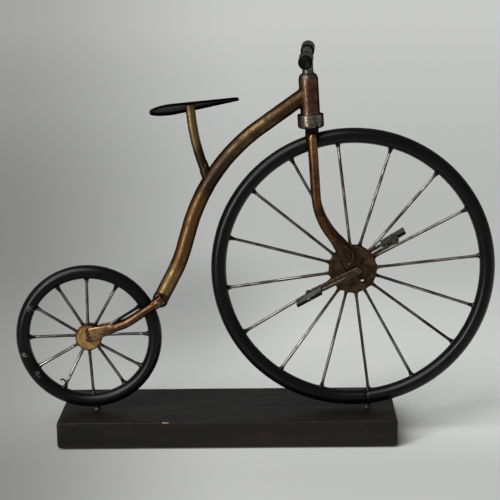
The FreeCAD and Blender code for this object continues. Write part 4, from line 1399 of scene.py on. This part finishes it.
class PENNY_OT_rear_fork(Operator):
    """Rear crown, two hand-bent stays pressed to hammered fans, and the axle with its lugs"""
    bl_idname = "penny.rear_fork"
    bl_label = "Rear fork"
    fan_length = 31

    def execute(self, context):
        settings = context.scene.penny_tubes
        radius = settings.stay_diameter / 2
        crown = middle("rear_crown")
        # side, its top below the crown, then its bend and its end from the rear axle
        rows = (
            ("right", 0.0, (42.5, 16.9), (3.2, 4.9)),
            ("left", 4.0, (42.5, 12.4), (3.2, 2.0)),
        )
        lumps = [self.bar(crown, 11.5 * MM)]
        for side_name, drop, bend, end in rows:
            node = "rear_stay_" + side_name
            y = middle(node).y
            bend = beside(REAR_AXLE, *bend, y)
            end = beside(REAR_AXLE, *end, y)
            way = (end - bend).normalized()
            start = end - way * self.fan_length * MM
            top = Vector((crown.x, y, crown.z - drop * MM))
            piece = bent_tube("stay_tube_" + side_name, [top, bend, start], (50 * MM,), radius, 32)
            self.fan(start, way, radius)
            close_up()
            work_by_hand(piece, settings.dents * 1.3, 0.014)
            hand_in(piece, "copper", node, crease=50)
            ends = ACROSS * (span("rear_crown").y / 2 + 2.2 * MM)
            reach = (bend - top) * 0.35
            lumps.append(weld_bead("weld", (top - reach * 0.3, top + reach, radius),
                                   (crown - ends, crown + ends, span("backbone").y / 2), 1.2 * MM))
        piece = joined("rear_crown_lump", lumps)
        melt(piece, 0.5 * MM, 16)
        work_by_hand(piece, 2.2 * MM, 0.006)
        hand_in(piece, "weld_copper", "rear_crown", slot="copper", crease=60)
        piece = from_solid("rear_axle", "rear_axle_lugs", 0.3 * MM, 3)
        work_by_hand(piece, 0.5 * MM, 0.004)
        hand_in(piece, "weld_copper", "rear_axle", slot="dark_steel", crease=60)
        return {"FINISHED"}

    def bar(self, centre, half):
        """Short bar across the backbone's foot, its ends well rounded."""
        radius = span("rear_crown").x / 2
        return turned("bar", rounded(radius, -half, half, radius * 0.6, 6), centre, ACROSS, 48)

    def fan(self, start, way, radius):
        """Presses the tube flat over 8 mm, then spreads it over the rest of the fan's length."""
        here, wide, thick = start, radius, radius
        # how far it runs on, then half its width and half its thickness there
        rows = [(2, 4.9, 4.2), (2, 5.0, 3.2), (2, 5.2, 2.3), (2, 5.5, 1.75)]
        rows += [(2.3, 5.5 + 0.25 * step, 1.7) for step in range(1, 11)]
        for reach, next_wide, next_thick in rows:
            here = here + way * reach * MM
            push(way * reach * MM)
            grow = next_wide * MM / wide
            swell(here, (grow, next_thick * MM / thick, grow))
            wide, thick = next_wide * MM, next_thick * MM


class PENNY_OT_cranks(Operator):
    """Cranks: forged bars with an eye and a spindle, slotted right through on the left only"""
    bl_idname = "penny.cranks"
    bl_label = "Cranks"

    def execute(self, context):
        for side_name, side in SIDES:
            node = "crank_" + side_name
            piece = from_solid(node, node + "_forged", 0.3 * MM, 1)
            if side < 0:
                self.groove(piece, PEDAL_AT["pedal_" + side_name])
            modify(piece, "SMOOTH", factor=0.5, iterations=2)
            work_by_hand(piece, 0.4 * MM, 0.004)
            hand_in(piece, "aged_brass", node, crease=60)
        return {"FINISHED"}

    def groove(self, piece, eye):
        """Fills the slot behind its face, so that a groove is left, and draws the eye in."""
        arm_middle = 1.8 * MM
        y = -(span("front_axle").y / 2 + arm_middle)
        arm = Vector((eye.x - FRONT_AXLE.x, 0, eye.z - FRONT_AXLE.z))
        strip = box("strip", (arm.length - 14 * MM, 2.4 * MM, 2.4 * MM), 0.4 * MM)
        strip.rotation_euler = (0, -math.atan2(arm.z, arm.x), 0)
        strip.location = FRONT_AXLE + arm / 2 + ACROSS * y
        joined(piece.name, [piece, strip])
        edit(piece)
        pick(piece, lambda at: abs(at.y - y) < 2.2 * MM
             and 4.1 * MM < Vector((at.x - eye.x, 0, at.z - eye.z)).length < 6.2 * MM)
        swell((eye.x, y, eye.z), (0.82, 1, 0.82))
        melt(piece, 0.3 * MM, 1)


class PENNY_OT_pedals(Operator):
    """Rubber pedals: ribbed blocks with smooth ends that turn on the spindles"""
    bl_idname = "penny.pedals"
    bl_label = "Pedals"

    def execute(self, context):
        settings = context.scene.penny_pedals
        turns = (settings.right_turn, settings.left_turn)
        for (side_name, _), turn in zip(SIDES, turns):
            node = "pedal_" + side_name
            piece = self.block(node + "_rubber", settings)
            piece.rotation_euler = (0, -turn, 0)
            piece.location = (PEDAL_AT[node].x, middle(node).y, PEDAL_AT[node].z)
            keep_place()
            hand_in(piece, "pedal_rubber", node, body=node, crease=60)
        return {"FINISHED"}

    def block(self, name, settings):
        """Core, ribs and end plates melted to one, with a bore along the middle."""
        long, wide, thick = settings.size
        plate = settings.end_plate
        core = box(name, (long, wide - plate, thick - 2 * settings.rib_depth), 0.4 * MM)
        pitch = long / settings.rib_count
        rib = box("rib", (pitch * 0.62, wide - plate, thick), 0.35 * MM)
        shifts = [(index + 0.5) * pitch - long / 2 for index in range(settings.rib_count)]
        ribs = copies(rib, [Matrix.Translation((shift, 0, 0)) for shift in shifts])
        end = box("end", (long, plate, thick), 0.5 * MM)
        place = (wide - plate) / 2
        ends = copies(end, [Matrix.Translation((0, way * place, 0)) for way in (-1, 1)])
        piece = joined(name, [core, ribs, ends])
        melt(piece, 0.25 * MM, 2)
        bore = 2.5 * MM
        drill(piece, (0, 0, 0), bore / 2, 2 * wide)
        return piece


class PENNY_OT_kept_nodes(Operator):
    """Finishes for the nodes whose own shape stays"""
    bl_idname = "penny.kept_nodes"
    bl_label = "Plain nodes"

    def execute(self, context):
        finishes = {
            "plinth_feet": "foot_rubber", "front_hub_barrel": "dark_bronze",
            "rear_hub_barrel": "gold_disc", "front_axle": "dark_bronze",
        }
        for node, finish in finishes.items():
            mesh = frame["nodes"][node].data
            mesh.materials.clear()
            mesh.materials.append(FINISHES[finish])
        return {"FINISHED"}


class PENNY_OT_stage(Operator):
    """Pale floor, soft lamps and the camera"""
    bl_idname = "penny.stage"
    bl_label = "Stage"

    def execute(self, context):
        settings = context.scene.penny_stage
        self.floor(settings)
        self.camera(context, settings)
        self.lamp("window", at=Vector((-1.5, -1.75, 0.62)), size=(0.42, 1.3), power=23.0)
        self.sky(at=Vector((-1.0, -1.2, 1.7)), strength=1.8)
        self.world(context)
        context.scene.view_settings.view_transform = "Standard"
        return {"FINISHED"}

    def floor(self, settings):
        """Round floor with painted light and shade: duller on its left, with four tones from near
        to far.
        """
        tree, shader, vector = start_finish("floor")
        place = put(tree, "SeparateXYZ", Vector=vector).outputs
        away = vector_calc(tree, "ABSOLUTE", vector_calc(tree, "ADD", vector, (0, 0.6, 0)))
        away = put(tree, "SeparateXYZ", Vector=away).outputs["Y"]
        away = put(tree, "MapRange", Value=away, From_Max=100.0, To_Min=1.0,
                   To_Max=101.0).outputs["Result"]
        aside = ramp(tree, calc(tree, "DIVIDE", place["X"], away), -0.20, 0.0)
        # the Y between which a tone comes in, and how bright it is on the left and on the right
        colour = None
        for start, end, left, right in ((0, 0, 0.46, 0.98), (-0.15, 0.12, 0.58, 1.34),
                                        (0.2, 0.9, 0.46, 0.98), (1.0, 3.5, 0.62, 1.12)):
            tone = blend(tree, aside, solid(Vector(settings.floor) * left),
                         solid(Vector(settings.floor) * right))
            colour = tone if colour is None else blend(
                tree, ramp(tree, place["Y"], start, end), colour, tone)
        # a faint shade behind the bicycle, and a deep one in front of what the camera sees
        shades = (((1.0, 0.36, 1.0), (-0.10, 0.19, 0), 0.20, 0.02, 0.34),
                  ((0.5, 1.0, 1.0), (0.10, -0.95, 0), 0.75, 0.20, 0.78))
        for scale, centre, outer, inner, depth in shades:
            shade = vector_calc(tree, "DISTANCE", stretched(tree, vector, scale), centre)
            shade = ramp(tree, shade, outer, inner, 0.0, depth)
            colour = blend(tree, shade, colour, solid((0.02, 0.02, 0.02)))
        paint(tree, shader, colour, 0.85, Specular_IOR_Level=0.2)
        self.far_glow(tree, shader, ramp(tree, place["Y"], 2.0, 8.0))
        hands_off()
        bpy.ops.mesh.primitive_circle_add(vertices=128, radius=settings.floor_radius,
                                          fill_type="NGON")
        floor = bpy.context.object
        floor.name = "floor"
        floor.data.materials.append(FINISHES["floor"])

    def far_glow(self, tree, shader, far):
        """Pale distance that is seen, straight or in a mirror, but lights nothing."""
        rays = tree.nodes.new("ShaderNodeLightPath").outputs
        seen = calc(tree, "ADD", rays["Is Camera Ray"], rays["Is Glossy Ray"])
        seen = calc(tree, "ADD", seen, rays["Is Transmission Ray"])
        glow = times(tree, times(tree, far, seen), 0.08)
        shader.inputs["Emission Color"].default_value = solid((1.0, 0.99, 0.96))
        feed(tree, shader.inputs["Emission Strength"], glow)

    def camera(self, context, settings):
        """Camera at its place, turned by yaw, then pitch, then roll."""
        yaw, pitch, roll = settings.yaw, settings.pitch, settings.roll
        ahead = Vector((math.sin(yaw) * math.cos(pitch), math.cos(yaw) * math.cos(pitch),
                        -math.sin(pitch)))
        level = Vector((math.cos(yaw), -math.sin(yaw), 0))
        above = level.cross(ahead)
        right = level * math.cos(roll) + above * math.sin(roll)
        top = above * math.cos(roll) - level * math.sin(roll)
        turn = Matrix((right, top, -ahead)).transposed()
        hands_off()
        bpy.ops.object.camera_add(location=settings.camera, rotation=turn.to_euler())
        camera = context.object
        camera.data.lens = settings.lens
        camera.data.sensor_width = 36.0
        camera.data.clip_end = 100.0
        context.scene.camera = camera

    def lamp(self, name, at, size, power):
        """Soft window of light that faces the middle of the bicycle."""
        aim = Vector((0, 0, 0.2)) - at
        hands_off()
        bpy.ops.object.light_add(type="AREA", location=at,
                                 rotation=aim.to_track_quat("-Z", "Y").to_euler())
        lamp = bpy.context.object
        lamp.name = name
        lamp.data.shape = "RECTANGLE"
        lamp.data.size, lamp.data.size_y = size
        lamp.data.energy = power

    def sky(self, at, strength):
        """Broad light from afar, so that the floor is as pale far off as near."""
        hands_off()
        bpy.ops.object.light_add(type="SUN", rotation=(-at).to_track_quat("-Z", "Y").to_euler())
        lamp = bpy.context.object
        lamp.name = "sky"
        lamp.data.angle = math.radians(45)
        lamp.data.energy = strength

    def world(self, context):
        """Even light from all round."""
        world = bpy.data.worlds.new("studio")
        world.use_nodes = True
        background = world.node_tree.nodes["Background"]
        background.inputs["Color"].default_value = solid((0.52, 0.53, 0.53))
        background.inputs["Strength"].default_value = 0.34
        context.scene.world = world


OPERATORS = (
    PENNY_OT_plinth, PENNY_OT_rings, PENNY_OT_spokes, PENNY_OT_hubs, PENNY_OT_studs,
    PENNY_OT_head, PENNY_OT_handlebar, PENNY_OT_backbone, PENNY_OT_saddle,
    PENNY_OT_front_fork, PENNY_OT_rear_fork, PENNY_OT_cranks, PENNY_OT_pedals,
    PENNY_OT_kept_nodes, PENNY_OT_stage,
)


class PENNY_PT_pieces(Panel):
    """Lists the pieces and their sizes"""
    bl_idname = "PENNY_PT_pieces"
    bl_label = "Penny farthing"
    bl_space_type = "VIEW_3D"
    bl_region_type = "UI"
    bl_category = "Penny farthing"

    def draw(self, context):
        for operator in OPERATORS:
            self.layout.operator(operator.bl_idname)
        for name, group in SETTINGS.items():
            box = self.layout.box()
            for key in group.__annotations__:
                box.prop(getattr(context.scene, name), key)


def register():
    """Registers the settings, the operators and the panel."""
    for group in SETTINGS.values():
        bpy.utils.register_class(group)
    for name, group in SETTINGS.items():
        setattr(bpy.types.Scene, name, PointerProperty(type=group))
    for operator in OPERATORS:
        bpy.utils.register_class(operator)
    bpy.utils.register_class(PENNY_PT_pieces)


def unregister():
    """Takes them all out again."""
    bpy.utils.unregister_class(PENNY_PT_pieces)
    for operator in reversed(OPERATORS):
        bpy.utils.unregister_class(operator)
    for name in SETTINGS:
        delattr(bpy.types.Scene, name)
    for group in SETTINGS.values():
        bpy.utils.unregister_class(group)


def main():
    """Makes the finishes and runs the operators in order."""
    register()
    make_finishes()
    for operator in OPERATORS:
        family, name = operator.bl_idname.split(".")
        getattr(getattr(bpy.ops, family), name)()


if __name__ == "__main__":
    main()
